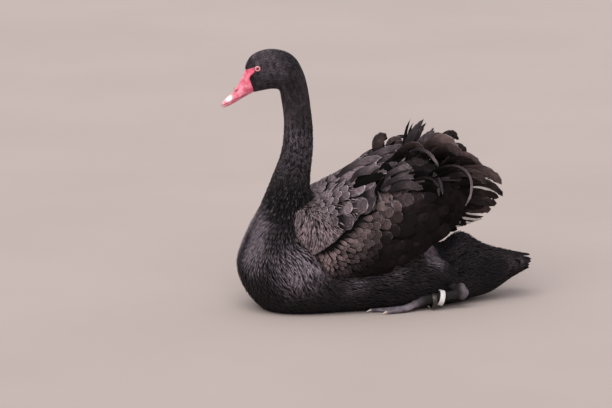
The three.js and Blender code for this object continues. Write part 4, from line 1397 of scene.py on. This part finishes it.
def build_plumes():
    """Loose inner feathers of each wing: grey ones laid over its rear, brown ones that curl out
    past it as a ragged fan, and a few pointed ones on top."""
    look = settings()
    grey = feather_material("Grey tertial", look.black, (0.24, 0.185, 0.205), look.fringe_and_highlight, 0.8,
                            barbs=70.0, gloss=0.45, shine=0.06, tips=(0.93, 1.0))
    brown = feather_material("Brown plume", (0.002, 0.0013, 0.0013), (0.15, 0.103, 0.1),
                             look.fringe_and_highlight, 0.45, barbs=60.0, gloss=0.5, shine=0.04,
                             tips=(0.97, 1.0))
    for name, side in SIDES:
        rng = np.random.default_rng(83 + side)
        if side == LEFT:
            tables = TERTIALS, np.vstack([CURLED, HOLLOW_SHADOWS]), POINTED_PLUMES
        else:
            tables = (RIGHT_TERTIALS, np.vstack([CURLED + RIGHT_SHIFT, FAR_PLUMES]),
                      POINTED_PLUMES + RIGHT_SHIFT)
        for table, (stem, cut, copies, material) in zip(tables, (
                ("grey_tertials", VANE, 0, grey), ("curled_plumes", VANE, 1, brown),
                ("pointed_plumes", POINTED, 0, grey))):
            rows = strewn(table, copies, rng)
            controls = rows[:, CONTROLS].reshape(-1, 4, 3) * MM * (1, -1, 1)
            line = bezier(controls, cut.along)
            roll = np.radians(rows[:, ROLL, None, None]) * (1 + 0.5 * cut.along[None, :, None])
            points = free_feathers(line, rolled_faces(line, roll), cut, rows[:, WIDTH] * MM,
                                   camber=0.12, frill=1.2 * MM,
                                   phase=rng.uniform(0, 6, len(rows)), lean=0.15, notch=0.3)
            place = arch_unwrap(*arch_place(WING, controls[:, 0, 0], controls[:, 0, 2]))
            feather_piece(f"{stem}_{name}", cut, mirrored(points, side), place,
                          rows[:, PALE] * 0.48, room(place), material)


def build_primaries():
    """White outer flight feathers, folded under each wing's rear and low over the rump."""
    look = settings()
    material, start, link = new_material("White flight feather", Roughness=0.6,
                                         Specular_IOR_Level=0.3, Sheen_Weight=0.1)
    across, along = vane_place(start)
    barb = (along * 90.0 + across * 30.0).math("SINE") * 0.5 + 0.5
    link(Base_Color=(barb * 0.25).mix(shade(look.white), shade((0.5, 0.46, 0.43))),
         Normal=barb.bump(0.3, 0.0004))
    order = np.arange(len(PRIMARY_WIDTHS))
    controls = PRIMARY + order[:-1, None, None] * PRIMARY_STEP
    line = bezier(np.concatenate([controls, LOOSE_WHITE[None]]), VANE.along)
    points = free_feathers(line, rolled_faces(line, np.full((1, 1, 1), 0.3)), VANE,
                           PRIMARY_WIDTHS, camber=0.2, frill=0.3 * MM, lean=0.3)
    place = np.stack([0.1 + 0.14 * order, 0.5 + 0 * order], -1)
    for name, side in SIDES:
        feather_piece(f"white_primaries_{name}", VANE, mirrored(points, side), place, 0.5, 0.05,
                      material, (f"primaries_{name}",))


def build_tail():
    """Three tiers of stiff tail feathers round the end of the body, ragged at their tips, and
    the inner vanes that close the tail between them."""
    rng = np.random.default_rng(17)
    v = np.concatenate([np.linspace(*tier[:3]) for tier in TAIL_TIERS])
    count = len(v)
    u, tip, rise = np.concatenate([[tier[3:]] * tier[2] for tier in TAIL_TIERS]).T
    u = u + 0.08 * rng.standard_normal(count)
    tip = tip + 7 * np.cos(v) + rng.uniform(-7, 2, count)
    upper = np.arange(count) < TAIL_TIERS[0][2]
    tip = tip + 9 * upper * ease(np.cos(v), 0.7, 0.95)
    length = tip * MM - BODY_SURFACE.point(u, v)[:, 0]
    points = lay_feathers(BODY_SURFACE, u, v, VANE, length, TAIL_WIDTH,
                          turn=0.07 * rng.standard_normal(count), sink=4 * MM,
                          rise=rise * MM, camber=0.12)
    pile = Pile("tail_feathers")
    place = unwrap(u, v % (2 * math.pi), (19, 22), (0, 2 * math.pi))
    pile.add_feathers(points, VANE, place, rng.uniform(0.15, 0.9, count), room(place))
    fan, level = (a.ravel() for a in np.meshgrid(np.linspace(-1, 1, 7), (-1, 0, 1)))
    controls = MM * np.stack([
        np.stack([x - 4 * abs(fan), wide * fan, z + 3 * level], -1)
        for x, wide, z in TAIL_VANES], 1)
    line = bezier(controls, VANE.along)
    points = free_feathers(line, np.broadcast_to([0.0, 1.0, 0.0], line.shape), VANE,
                           TAIL_VANE_WIDTH, camber=0.1)
    place = np.stack([0.1 + 0.12 * np.arange(len(fan)) % 0.84, 0.9 + 0 * fan], -1)
    pile.add_feathers(points, VANE, place, 0.3, TUFT_PATCH)
    pile.build(dark_feather_material("Tail feather"))


# ---- bill and eyes ------------------------------------------------------------------------------
def bill_point(share, angle):
    """Bill: ovals from the ridge to the underside, a little squared by a power of sin(angle)."""
    wide = np.sign(np.sin(angle)) * np.abs(np.sin(angle)) ** 0.9
    return oval(BILL, share, (1 - np.cos(angle)) / 2, wide)


def groove(points, line, width):
    """Depth of a groove along a line of the side view: exp(-(distance / width)^2)."""
    return np.exp(-(distance_to(line, points) / width) ** 2)


def build_bill():
    """Bill with a cut mouth line, slit nostrils, a raised nail and a fold at the gape."""
    share = np.concatenate([np.linspace(0.02, 0.9, 150), np.linspace(0.905, 1, 24)])
    u, v = np.meshgrid(share, around(160), indexing="ij")
    surface = Surface(bill_point, (0, 1))
    points = bill_point(u, v)
    mouth = groove(points, MOUTH_LINE, 0.55 * MM)
    fold = groove(points, MOUTH_LINE + (0, 4.5 * MM), MM)
    fold *= ease(points[..., 0], -268 * MM, -256 * MM)
    nail = groove(points, NAIL_LINE, 0.6 * MM)
    tilt = math.radians(40)
    dx, _, dz = np.moveaxis(points - NOSTRIL, -1, 0)
    slit = np.hypot((dx * math.cos(tilt) + dz * math.sin(tilt)) / (5.2 * MM),
                    (dz * math.cos(tilt) - dx * math.sin(tilt)) / (1.7 * MM))
    slit = (1 - ease(slit, 0.45, 1.15)) * ease(np.abs(points[..., 1]), 3 * MM, 7 * MM)
    depth = MM * (1.0 * mouth + 0.5 * fold + 0.3 * nail + 1.7 * slit)
    points = points - surface.frame(u, v)[2] * depth[..., None]
    # painted shade in the mouth line, the nostrils and the gape's fold, and under the bill
    under = ease(-np.cos(v), 0.62, 0.96) * ease(u, 0.25, 0.4)
    dark = np.clip(mouth + 0.6 * slit + 0.35 * fold + 0.55 * under, 0, 1)
    material, start, link = new_material("Bill horn", Specular_IOR_Level=0.5, Coat_Weight=0.25,
                                         Coat_Roughness=0.25)
    place = object_place(start)
    # cut: the painted shade of the mouth line, nostrils, fold and underside
    cut = point_number(start)
    folded = both_sides(place)
    white = folded.near((-0.2905, 0.006, 0.4085), 0.014).ease(0.05, 0.75)
    tip = place.near((-0.3005, 0, 0.394), 0.017).ease(0.1, 0.8)
    # painted highlight: pale pink along the ridge, where the light falls
    ridge = 1 - folded.part(1).ease(0.001, 0.010)
    colour = (ridge * 0.45).mix(bill_colour(place), shade((0.95, 0.42, 0.48)))
    colour = (tip * 0.6).mix(colour, shade((0.92, 0.6, 0.6)))
    colour = white.mix(colour, shade((0.9, 0.86, 0.84)))
    grain = place.noise(600.0, 3.0)
    link(Base_Color=(cut * 0.85).mix(colour, shade((0.10, 0.01, 0.02))),
         Roughness=0.32 + grain * 0.15,
         Normal=(place.noise(140.0, 3.0) + grain * 0.3).bump(0.25, 0.0008))
    pile = Pile("bill_shell")
    add_tube(pile, points, dark)
    pile.build(material, ("bill_upper", "bill_lower", "bill_nail"))


def eye_axes(side):
    """Outward axis of an eye, and two axes square to it: forwards and up."""
    axis = unit(np.array([-0.14, side, 0.03]))
    ahead = unit(np.array([-1.0, 0, 0]) + axis * axis[0])
    return axis, ahead, np.cross(ahead, axis) * side


def build_eyes():
    """Eyeballs with a bulged clear front, red iris and dark pupil, in pink lids."""
    colours = bpy.context.scene.swan_bare_parts
    material, start, link = new_material("Eye", Roughness=0.12, Coat_Weight=1.0,
                                         Coat_Roughness=0.03, Specular_IOR_Level=0.5)
    ring = tube_share(start)
    fleck = object_place(start).noise(1500.0, 2.0)
    iris = fleck.ease(0.3, 0.7).mix(shade(colours.iris), shade((0.5, 0.13, 0.1)))
    inner = ring.ease(0.078, 0.088).mix(shade((0.006, 0.003, 0.004)), iris)
    link(Base_Color=ring.ease(0.2, 0.215).mix(inner, shade((0.05, 0.02, 0.02))))
    lid_material, start, link = new_material("Eyelid", Roughness=0.5, Specular_IOR_Level=0.4)
    crease = object_place(start).noise(1200.0, 2.0)
    link(Base_Color=crease.ease(0.3, 0.75).mix(shade((0.62, 0.24, 0.3)), shade(colours.lid)),
         Normal=crease.bump(0.3, 0.0003))
    for name, side in SIDES:
        centre = EYE_CENTRE * (1, side, 1)
        axis, ahead, up = eye_axes(side)
        polar = np.linspace(0.01, math.pi - 0.01, 60)[:, None, None]
        spin = around(64)[None, :, None]
        radius = EYE_RADIUS * (0.985 + 0.05 * np.exp(-(polar / 0.5) ** 2))
        ball = centre + radius * (axis * np.cos(polar) + np.sin(polar) * (
            ahead * np.cos(spin) + up * np.sin(spin)))
        pile = Pile(f"eyeball_{name}")
        add_tube(pile, ball)
        pile.build(material, (f"eye_{name}",))

        turn = around(72)[:, None]
        opening = EYE_OPENING + 0.035 * np.cos(2 * turn) + 0.04 * np.cos(turn) ** 9
        angle = opening + LID_LAP
        reach = EYE_RADIUS + LID_LIFT * (1 + 0.12 * np.sin(3 * turn))
        flat = ahead * np.cos(turn)[..., None] + up * np.sin(turn)[..., None]
        lid = centre + reach[..., None] * (axis * np.cos(angle)[..., None]
                                           + flat * np.sin(angle)[..., None])
        pile = Pile(f"eyelids_{name}")
        add_tube(pile, lid, loop=True)
        pile.build(lid_material)


# ---- legs, feet and rings -----------------------------------------------------------------------
def straight(start, end, count):
    """Evenly spaced points of a straight line."""
    return blend(start, end, np.linspace(0, 1, count)[:, None])


def fused(piece, voxel, relax):
    """The piece remade as one smooth skin over all its tubes."""
    remesh = piece.modifiers.new("Fuse", "REMESH")
    remesh.mode = "VOXEL"
    remesh.voxel_size = voxel
    remesh.use_smooth_shade = True
    smooth = piece.modifiers.new("Relax", "SMOOTH")
    smooth.iterations = relax
    graph = bpy.context.evaluated_depsgraph_get()
    made = bpy.data.meshes.new_from_object(piece.evaluated_get(graph), depsgraph=graph)
    piece.modifiers.clear()
    made.name = piece.name
    piece.data = made


def toe_line(points):
    """Middle line of a toe through its three points."""
    return spline(MM * np.array(points, float), np.linspace(0, 1, TOE_RINGS))


def above_floor(points):
    """Points of a foot, none lower than the foot's gap over the floor."""
    points[..., 2] = np.maximum(points[..., 2], FOOT_GAP)
    return points


def leg_material():
    """Scaly skin, pale in front and darker behind, with fine wrinkles round the heel painted as
    light and dark rings: painted shade in the wrinkles.
    """
    colours = bpy.context.scene.swan_bare_parts
    material, start, link = new_material("Leg skin", Specular_IOR_Level=0.2)
    place = object_place(start)
    scale = place.stretched(1.0, 1.0, 1.4).node("ShaderNodeTexVoronoi", {
        "Scale": 420.0}, feature="DISTANCE_TO_EDGE")
    seam = 1 - scale.ease(0.0, 0.16)
    cloud = place.noise(60.0, 3.0)
    fore = 1.3 - place.part(0).ease(0.035, 0.07) * 1.25
    # painted shade in the heel's wrinkles: light and dark rings round it
    fold_shade = place.node("ShaderNodeVectorMath", {0: both_sides(place), 1: (0.122, 0.087, 0.026)},
                       output=1, operation="DISTANCE")
    fold_shade = (fold_shade * 2400.0).math("SINE") * 0.25 + 0.75
    fore = fore + place.part(0).ease(0.131, 0.142) * 1.2 * fold_shade
    colour = ((0.3 + cloud.ease(0.3, 0.7) * 0.5) * fore).mix(
        shade((0.006, 0.0045, 0.0055)), shade(colours.leg))
    link(Base_Color=(seam * 0.4).mix(colour, shade((0.02, 0.017, 0.018))),
         Roughness=0.5 + cloud * 0.2, Normal=(scale.ease(0.0, 0.2)).bump(0.5, 0.0005))
    return material


def build_legs():
    """Legs and feet: folded shank, knobbly heel, tarsus, jointed toes and the webs between."""
    material = leg_material()
    t = np.linspace(0, 1, LEG_RINGS)
    for name, side in SIDES:
        flip = (1, side, 1)
        pile = Pile(f"limb_{name}")
        shank = straight(KNEE * flip, HEEL * flip, LEG_RINGS)
        add_tube(pile, swept(shank, MM * blend(12.5, 6, t)))
        tarsus = straight(HEEL * flip, TOE_BASE * flip, LEG_RINGS)
        add_tube(pile, swept(tarsus, MM * (8.2 + 0.9 * t + 1.4 * (1 - ease(t, 0, 0.2))),
                             flat=0.82))
        heel = straight((HEEL + MM * np.array([-6, -1, 8])) * flip,
                        (HEEL + MM * np.array([-4, 0, -3])) * flip, 30)
        add_tube(pile, swept(heel, MM * (10.8 + 0.7 * np.sin(np.linspace(0, 25, 30))), flat=0.95))
        palm = straight((PALM + MM * np.array([8, 0, 3])) * flip,
                        (PALM + MM * np.array([-6, 0, -2])) * flip, 8)
        add_tube(pile, swept(palm, np.full(8, 7.6 * MM), flat=1.15))
        for points, _, root, tip in TOES.values():
            s = np.linspace(0, 1, TOE_RINGS)
            knuckles = (0.55 * np.exp(-((s - 0.36) / 0.07) ** 2)
                        + 0.5 * np.exp(-((s - 0.7) / 0.06) ** 2))
            radii = MM * (blend(root, tip, s) * 0.92 + knuckles - 0.5 * s)
            add_tube(pile, above_floor(swept(toe_line(points) * flip, radii, flat=0.9)))
        for first, second in (("outer", "middle"), ("middle", "inner")):
            add_tube(pile, web(TOES[first][0], TOES[second][0]) * flip)
        piece = pile.build(material, (f"leg_{name}", f"foot_{name}"))
        fused(piece, LEG_VOXEL, relax=2)


def web(first, second):
    """Web between two toes: a thin sheet whose far edge sags between the toes' nail beds."""
    a, b = toe_line(first), toe_line(second)
    across = np.linspace(0, 1, 9)[None, :, None]
    sag = 0.16 * np.sin(math.pi * across[..., 0]) ** 2
    reach = (np.linspace(0.1, 0.93, TOE_RINGS)[:, None]
             - sag * np.linspace(0, 1, TOE_RINGS)[:, None])
    sheet = blend(spline(a, reach), spline(b, reach), across)
    sheet[..., 2] = np.maximum(sheet[..., 2] - 1.5 * MM, 2.2 * MM)
    return np.concatenate([sheet, (sheet - (0, 0, 1.7 * MM))[:, ::-1]], 1)


def build_claws():
    """Blunt curved claws, dark at the root and pale at the tip."""
    colours = bpy.context.scene.swan_bare_parts
    material, start, link = new_material("Claw horn", Roughness=0.4, Specular_IOR_Level=0.5)
    along = tube_share(start)
    grain = object_place(start).stretched(1, 4, 4).noise(300.0, 3.0)
    link(Base_Color=(along.ease(0.1, 0.5) * (0.6 + grain * 0.5)).mix(
        shade((0.12, 0.09, 0.09)), shade(colours.claw)), Normal=grain.bump(0.2, 0.0003))
    pile = Pile("claws")
    nodes = []
    for name, side in SIDES:
        for toe, (points, tip, _, tip_radius) in TOES.items():
            root, end = MM * np.array(points[-1], float), MM * np.array(tip, float)
            bend = blend(root, end, 0.55)
            bend[2] = root[2] + 0.6 * MM
            t = np.linspace(0, 1, 16)[:, None]
            line = (1 - t) ** 2 * root + 2 * t * (1 - t) * bend + t ** 2 * end
            radii = MM * blend(0.62 * tip_radius, 0.9, t[:, 0] ** 1.4)
            add_tube(pile, above_floor(swept(line * (1, side, 1), radii, sides=14, flat=0.8)))
            nodes.append(f"claw_{name}_{toe}")
    pile.build(material, nodes)


RING_SLACK, RING_CORNER = 0.6, 0.5    # in millimetres


def ring_around_tarsus(along, inner, outer, length, lean):
    """Profile of a ring with rounded edges, carried round the left tarsus at a share of its
    length. Radii and length are in millimetres. The ring hangs on the top of the leg, and its
    own top leans back by some degrees."""
    heel, toe = HEEL * (1, LEFT, 1), TOE_BASE * (1, LEFT, 1)
    lean = math.radians(lean)
    cos, sin = math.cos(lean), math.sin(lean)
    axis = unit(toe - heel) @ np.array([[cos, 0, -sin], [0, 1, 0], [sin, 0, cos]])
    centre = blend(heel, toe, along)
    leg_radius = blend(8, 9, along)
    centre[2] -= (inner * cos - length / 2 * sin - leg_radius - RING_SLACK) * MM
    side = unit(np.cross(axis, [0, 0, 1.0]))
    up = np.cross(side, axis)
    corner = RING_CORNER
    profile = []
    for r, h, start in ((outer, 1, 0), (outer, -1, 270), (inner, -1, 180), (inner, 1, 90)):
        mid_r = r - corner if r == outer else r + corner
        for degrees in (90, 67, 45, 22, 0):
            a = math.radians(start + degrees)
            profile.append((mid_r + corner * math.cos(a),
                            h * (length / 2 - corner) + corner * math.sin(a)))
    profile = MM * np.array(profile)
    turn = around(96)[:, None, None]
    return (centre + axis * profile[None, :, 1:]
            + (side * np.cos(turn) + up * np.sin(turn)) * profile[None, :, :1])


def build_rings():
    """White plastic band and narrow metal ring on the left leg, both blank."""
    material, start, link = new_material("White band plastic", Specular_IOR_Level=0.5)
    place = object_place(start)
    worn = place.noise(160.0, 4.0, 0.6)
    link(Base_Color=worn.ease(0.45, 0.75).mix(shade((0.72, 0.68, 0.69)),
                                              shade((0.5, 0.455, 0.46))),
         Roughness=0.35 + worn * 0.25, Normal=worn.bump(0.1, 0.0003))
    pile = Pile("blank_leg_band")
    ring = ring_around_tarsus(along=0.56, inner=12.6, outer=14.8, length=9.5, lean=20)
    add_tube(pile, ring, loop=True)
    pile.build(material, ("leg_band",))
    material, start, link = new_material("Dull ring metal", Metallic=1.0)
    scratch = object_place(start).noise(500.0, 4.0, 0.7)
    link(Base_Color=scratch.ease(0.3, 0.7).mix(shade((0.13, 0.115, 0.11)),
                                               shade((0.045, 0.038, 0.035))),
         Roughness=0.35 + scratch * 0.3, Normal=scratch.bump(0.2, 0.0002))
    pile = Pile("blank_leg_ring")
    ring = ring_around_tarsus(along=0.74, inner=13.4, outer=15, length=8.5, lean=8)
    add_tube(pile, ring, loop=True)
    pile.build(material, ("leg_ring",))


# ---- stage --------------------------------------------------------------------------------------
# The camera's place, and how far it's turned to the bird's front, tilted down and rolled.
CAMERA_PLACE = (-1.76107, -7.61834, 1.71192)
CAMERA_TURN, CAMERA_FALL, CAMERA_ROLL = map(math.radians, (12, 11, 0.35))
SENSOR_WIDTH = 36
SKY_STRENGTH, SUN_STRENGTH = 0.62, 2.6
SUN_SIZE, SUN_PITCH, SUN_TILT = map(math.radians, (60, 38, -24))


def build_floor(colour):
    """Wide pale floor with a faint grain."""
    bpy.ops.mesh.primitive_plane_add(size=60)
    floor = bpy.context.object
    floor.name = "floor"
    material, start, link = new_material("Floor", Roughness=0.9, Specular_IOR_Level=0.2)
    place = object_place(start)
    cloud = place.noise(1.6, 4.0)
    grain = place.noise(260.0, 2.0)
    darker = tuple(part * 0.93 for part in colour)
    link(Base_Color=(cloud.ease(0.3, 0.7) * 0.7 + grain * 0.3).mix(shade(darker), shade(colour)),
         Normal=grain.bump(0.15, 0.001))
    floor.data.materials.append(material)


def build_light(strength):
    """Even cool sky from all sides and one broad soft light from above and before the bird."""
    world = bpy.data.worlds.new("Soft sky")
    bpy.context.scene.world = world
    world.use_nodes = True
    sky = world.node_tree.nodes["Background"]
    sky.inputs["Color"].default_value = (0.97, 0.97, 1.0, 1)
    sky.inputs["Strength"].default_value = strength * SKY_STRENGTH
    data = bpy.data.lights.new("Soft sun", "SUN")
    data.energy = SUN_STRENGTH * strength
    data.angle = SUN_SIZE
    data.color = (1.0, 0.98, 0.95)
    lamp = bpy.data.objects.new("Soft sun", data)
    lamp.rotation_euler = (SUN_PITCH, SUN_TILT, 0)
    bpy.context.scene.collection.objects.link(lamp)
    bpy.context.scene.view_settings.view_transform = "Standard"


def build_camera(lens):
    """Camera beside the bird's left, turned, tilted down and rolled about its own line of sight."""
    turn, fall, roll = CAMERA_TURN, CAMERA_FALL, CAMERA_ROLL
    view = Vector((math.sin(turn) * math.cos(fall), math.cos(turn) * math.cos(fall),
                   -math.sin(fall)))
    right = Vector((math.cos(turn), -math.sin(turn), 0))
    up = right.cross(view)
    right, up = (right * math.cos(roll) - up * math.sin(roll),
                 up * math.cos(roll) + right * math.sin(roll))
    data = bpy.data.cameras.new("Camera")
    data.lens = lens
    data.sensor_width = SENSOR_WIDTH
    data.clip_end = 100
    camera = bpy.data.objects.new("Camera", data)
    bpy.context.scene.collection.objects.link(camera)
    camera.matrix_world = Matrix.Translation(CAMERA_PLACE) @ Matrix(
        (right, up, -view)).transposed().to_4x4()
    bpy.context.scene.camera = camera


# ---- operators, panel and registration ----------------------------------------------------------
class SWAN_OT_skin(bpy.types.Operator):
    """Make the skin that lies under all the plumage"""

    bl_idname = "swan.skin"
    bl_label = "Skin"

    def execute(self, context):
        build_skin()
        return {"FINISHED"}


class SWAN_OT_head_coat(bpy.types.Operator):
    """Make the velvety coat of the head"""

    bl_idname = "swan.head_coat"
    bl_label = "Head Coat"

    def execute(self, context):
        build_coat("head", settings().head_tufts, HAIR, HEAD_RANGE, ALL_ROUND, seed=3,
                   shape=head_shape, keep=head_keeps, size=([0, 2, 5.6], [0.8, 1.0, 1.7]),
                   barbs=4.0)
        return {"FINISHED"}


class SWAN_OT_neck_coat(bpy.types.Operator):
    """Make the ruffled coat of the neck"""

    bl_idname = "swan.neck_coat"
    bl_label = "Neck Coat"

    def execute(self, context):
        build_coat("neck", settings().neck_tufts, TUFT, NECK_RANGE, ALL_ROUND, seed=5,
                   shape=neck_shape, keep=neck_keeps,
                   size=([5, 6.5, 8.7, 9.3], [0.75, 1, 1.3, 1.6]),
                   gloss=0.42, barbs=5.0, root=0.2)
        return {"FINISHED"}


class SWAN_OT_breast_coat(bpy.types.Operator):
    """Make the smooth rippled coat of the breast"""

    bl_idname = "swan.breast_coat"
    bl_label = "Breast Coat"

    def execute(self, context):
        build_coat("breast", settings().breast_tufts, TUFT, BREAST_RANGE, BREAST_ROUND, seed=7,
                   shape=breast_shape, size=([8, 9.5, 14], [0.8, 1.0, 1.5]),
                   gloss=0.45, barbs=7.0)
        return {"FINISHED"}


class SWAN_OT_flank_coat(bpy.types.Operator):
    """Make the coat of the flanks and the belly"""

    bl_idname = "swan.flank_coat"
    bl_label = "Flank Coat"

    def execute(self, context):
        build_coat("flank", settings().flank_tufts, TUFT, FLANK_RANGE, FLANK_ROUND, seed=11,
                   shape=flank_shape, gloss=0.48)
        return {"FINISHED"}


class SWAN_OT_rump_coat(bpy.types.Operator):
    """Make the ruffled coat of the rump and the tail"""

    bl_idname = "swan.rump_coat"
    bl_label = "Rump Coat"

    def execute(self, context):
        build_coat("rump", settings().rump_tufts, TUFT, RUMP_RANGE, ALL_ROUND, seed=13,
                   shape=rump_shape)
        return {"FINISHED"}


class SWAN_OT_tail(bpy.types.Operator):
    """Make the tail feathers"""

    bl_idname = "swan.tail"
    bl_label = "Tail Feathers"

    def execute(self, context):
        build_tail()
        return {"FINISHED"}


class SWAN_OT_shoulders(bpy.types.Operator):
    """Make the streaked and scaly feathers of the shoulders"""

    bl_idname = "swan.shoulders"
    bl_label = "Shoulder Feathers"

    def execute(self, context):
        build_shoulders()
        return {"FINISHED"}


class SWAN_OT_coverts(bpy.types.Operator):
    """Make the wing coverts"""

    bl_idname = "swan.coverts"
    bl_label = "Wing Coverts"

    def execute(self, context):
        build_coverts()
        return {"FINISHED"}


class SWAN_OT_flight_feathers(bpy.types.Operator):
    """Make the dark secondaries along each wing"""

    bl_idname = "swan.flight_feathers"
    bl_label = "Flight Feathers"

    def execute(self, context):
        build_flight_feathers()
        return {"FINISHED"}


class SWAN_OT_plumes(bpy.types.Operator):
    """Make the curled plumes over the rear of each wing"""

    bl_idname = "swan.plumes"
    bl_label = "Curled Plumes"

    def execute(self, context):
        build_plumes()
        return {"FINISHED"}


class SWAN_OT_primaries(bpy.types.Operator):
    """Make the white flight feathers"""

    bl_idname = "swan.primaries"
    bl_label = "White Primaries"

    def execute(self, context):
        build_primaries()
        return {"FINISHED"}


class SWAN_OT_bill(bpy.types.Operator):
    """Make the bill"""

    bl_idname = "swan.bill"
    bl_label = "Bill"

    def execute(self, context):
        build_bill()
        return {"FINISHED"}


class SWAN_OT_eyes(bpy.types.Operator):
    """Make the eyes and their lids"""

    bl_idname = "swan.eyes"
    bl_label = "Eyes"

    def execute(self, context):
        build_eyes()
        return {"FINISHED"}


class SWAN_OT_legs(bpy.types.Operator):
    """Make the legs, feet and claws"""

    bl_idname = "swan.legs"
    bl_label = "Legs and Feet"

    def execute(self, context):
        build_legs()
        build_claws()
        return {"FINISHED"}


class SWAN_OT_rings(bpy.types.Operator):
    """Make the blank leg band and ring"""

    bl_idname = "swan.rings"
    bl_label = "Leg Rings"

    def execute(self, context):
        build_rings()
        return {"FINISHED"}


class SWAN_OT_stage(bpy.types.Operator):
    """Make the floor, the light and the camera"""

    bl_idname = "swan.stage"
    bl_label = "Stage"

    def execute(self, context):
        stage = context.scene.swan_stage
        build_floor(tuple(stage.floor))
        build_light(stage.sky)
        build_camera(stage.lens)
        return {"FINISHED"}


PIECE_OPERATORS = (
    SWAN_OT_skin, SWAN_OT_head_coat, SWAN_OT_neck_coat, SWAN_OT_breast_coat, SWAN_OT_flank_coat,
    SWAN_OT_rump_coat, SWAN_OT_tail, SWAN_OT_shoulders, SWAN_OT_coverts, SWAN_OT_flight_feathers,
    SWAN_OT_plumes, SWAN_OT_primaries, SWAN_OT_bill, SWAN_OT_eyes, SWAN_OT_legs, SWAN_OT_rings,
    SWAN_OT_stage,
)


class SWAN_PT_panel(bpy.types.Panel):
    """Lists the settings and the operators that make the swan"""

    bl_label = "Black Swan"
    bl_idname = "SWAN_PT_panel"
    bl_space_type = "VIEW_3D"
    bl_region_type = "UI"
    bl_category = "Swan"

    def draw(self, context):
        layout = self.layout
        scene = context.scene
        for group in (scene.swan_plumage, scene.swan_bare_parts, scene.swan_stage):
            box = layout.box()
            for name in group.bl_rna.properties.keys():
                if name not in ("rna_type", "name"):
                    box.prop(group, name)
        for operator in PIECE_OPERATORS:
            layout.operator(operator.bl_idname)


CLASSES = (SwanPlumage, SwanBareParts, SwanStage, *PIECE_OPERATORS, SWAN_PT_panel)


def register():
    """Makes Blender know the add-on's settings, operators and panel."""
    for cls in CLASSES:
        bpy.utils.register_class(cls)
    bpy.types.Scene.swan_plumage = bpy.props.PointerProperty(type=SwanPlumage)
    bpy.types.Scene.swan_bare_parts = bpy.props.PointerProperty(type=SwanBareParts)
    bpy.types.Scene.swan_stage = bpy.props.PointerProperty(type=SwanStage)


def unregister():
    """Makes Blender forget them again."""
    del bpy.types.Scene.swan_stage
    del bpy.types.Scene.swan_bare_parts
    del bpy.types.Scene.swan_plumage
    for cls in reversed(CLASSES):
        bpy.utils.unregister_class(cls)


def main():
    """Registers the add-on and makes every piece."""
    register()
    for operator in PIECE_OPERATORS:
        group, name = operator.bl_idname.split(".")
        getattr(getattr(bpy.ops, group), name)()


if __name__ == "__main__":
    main()
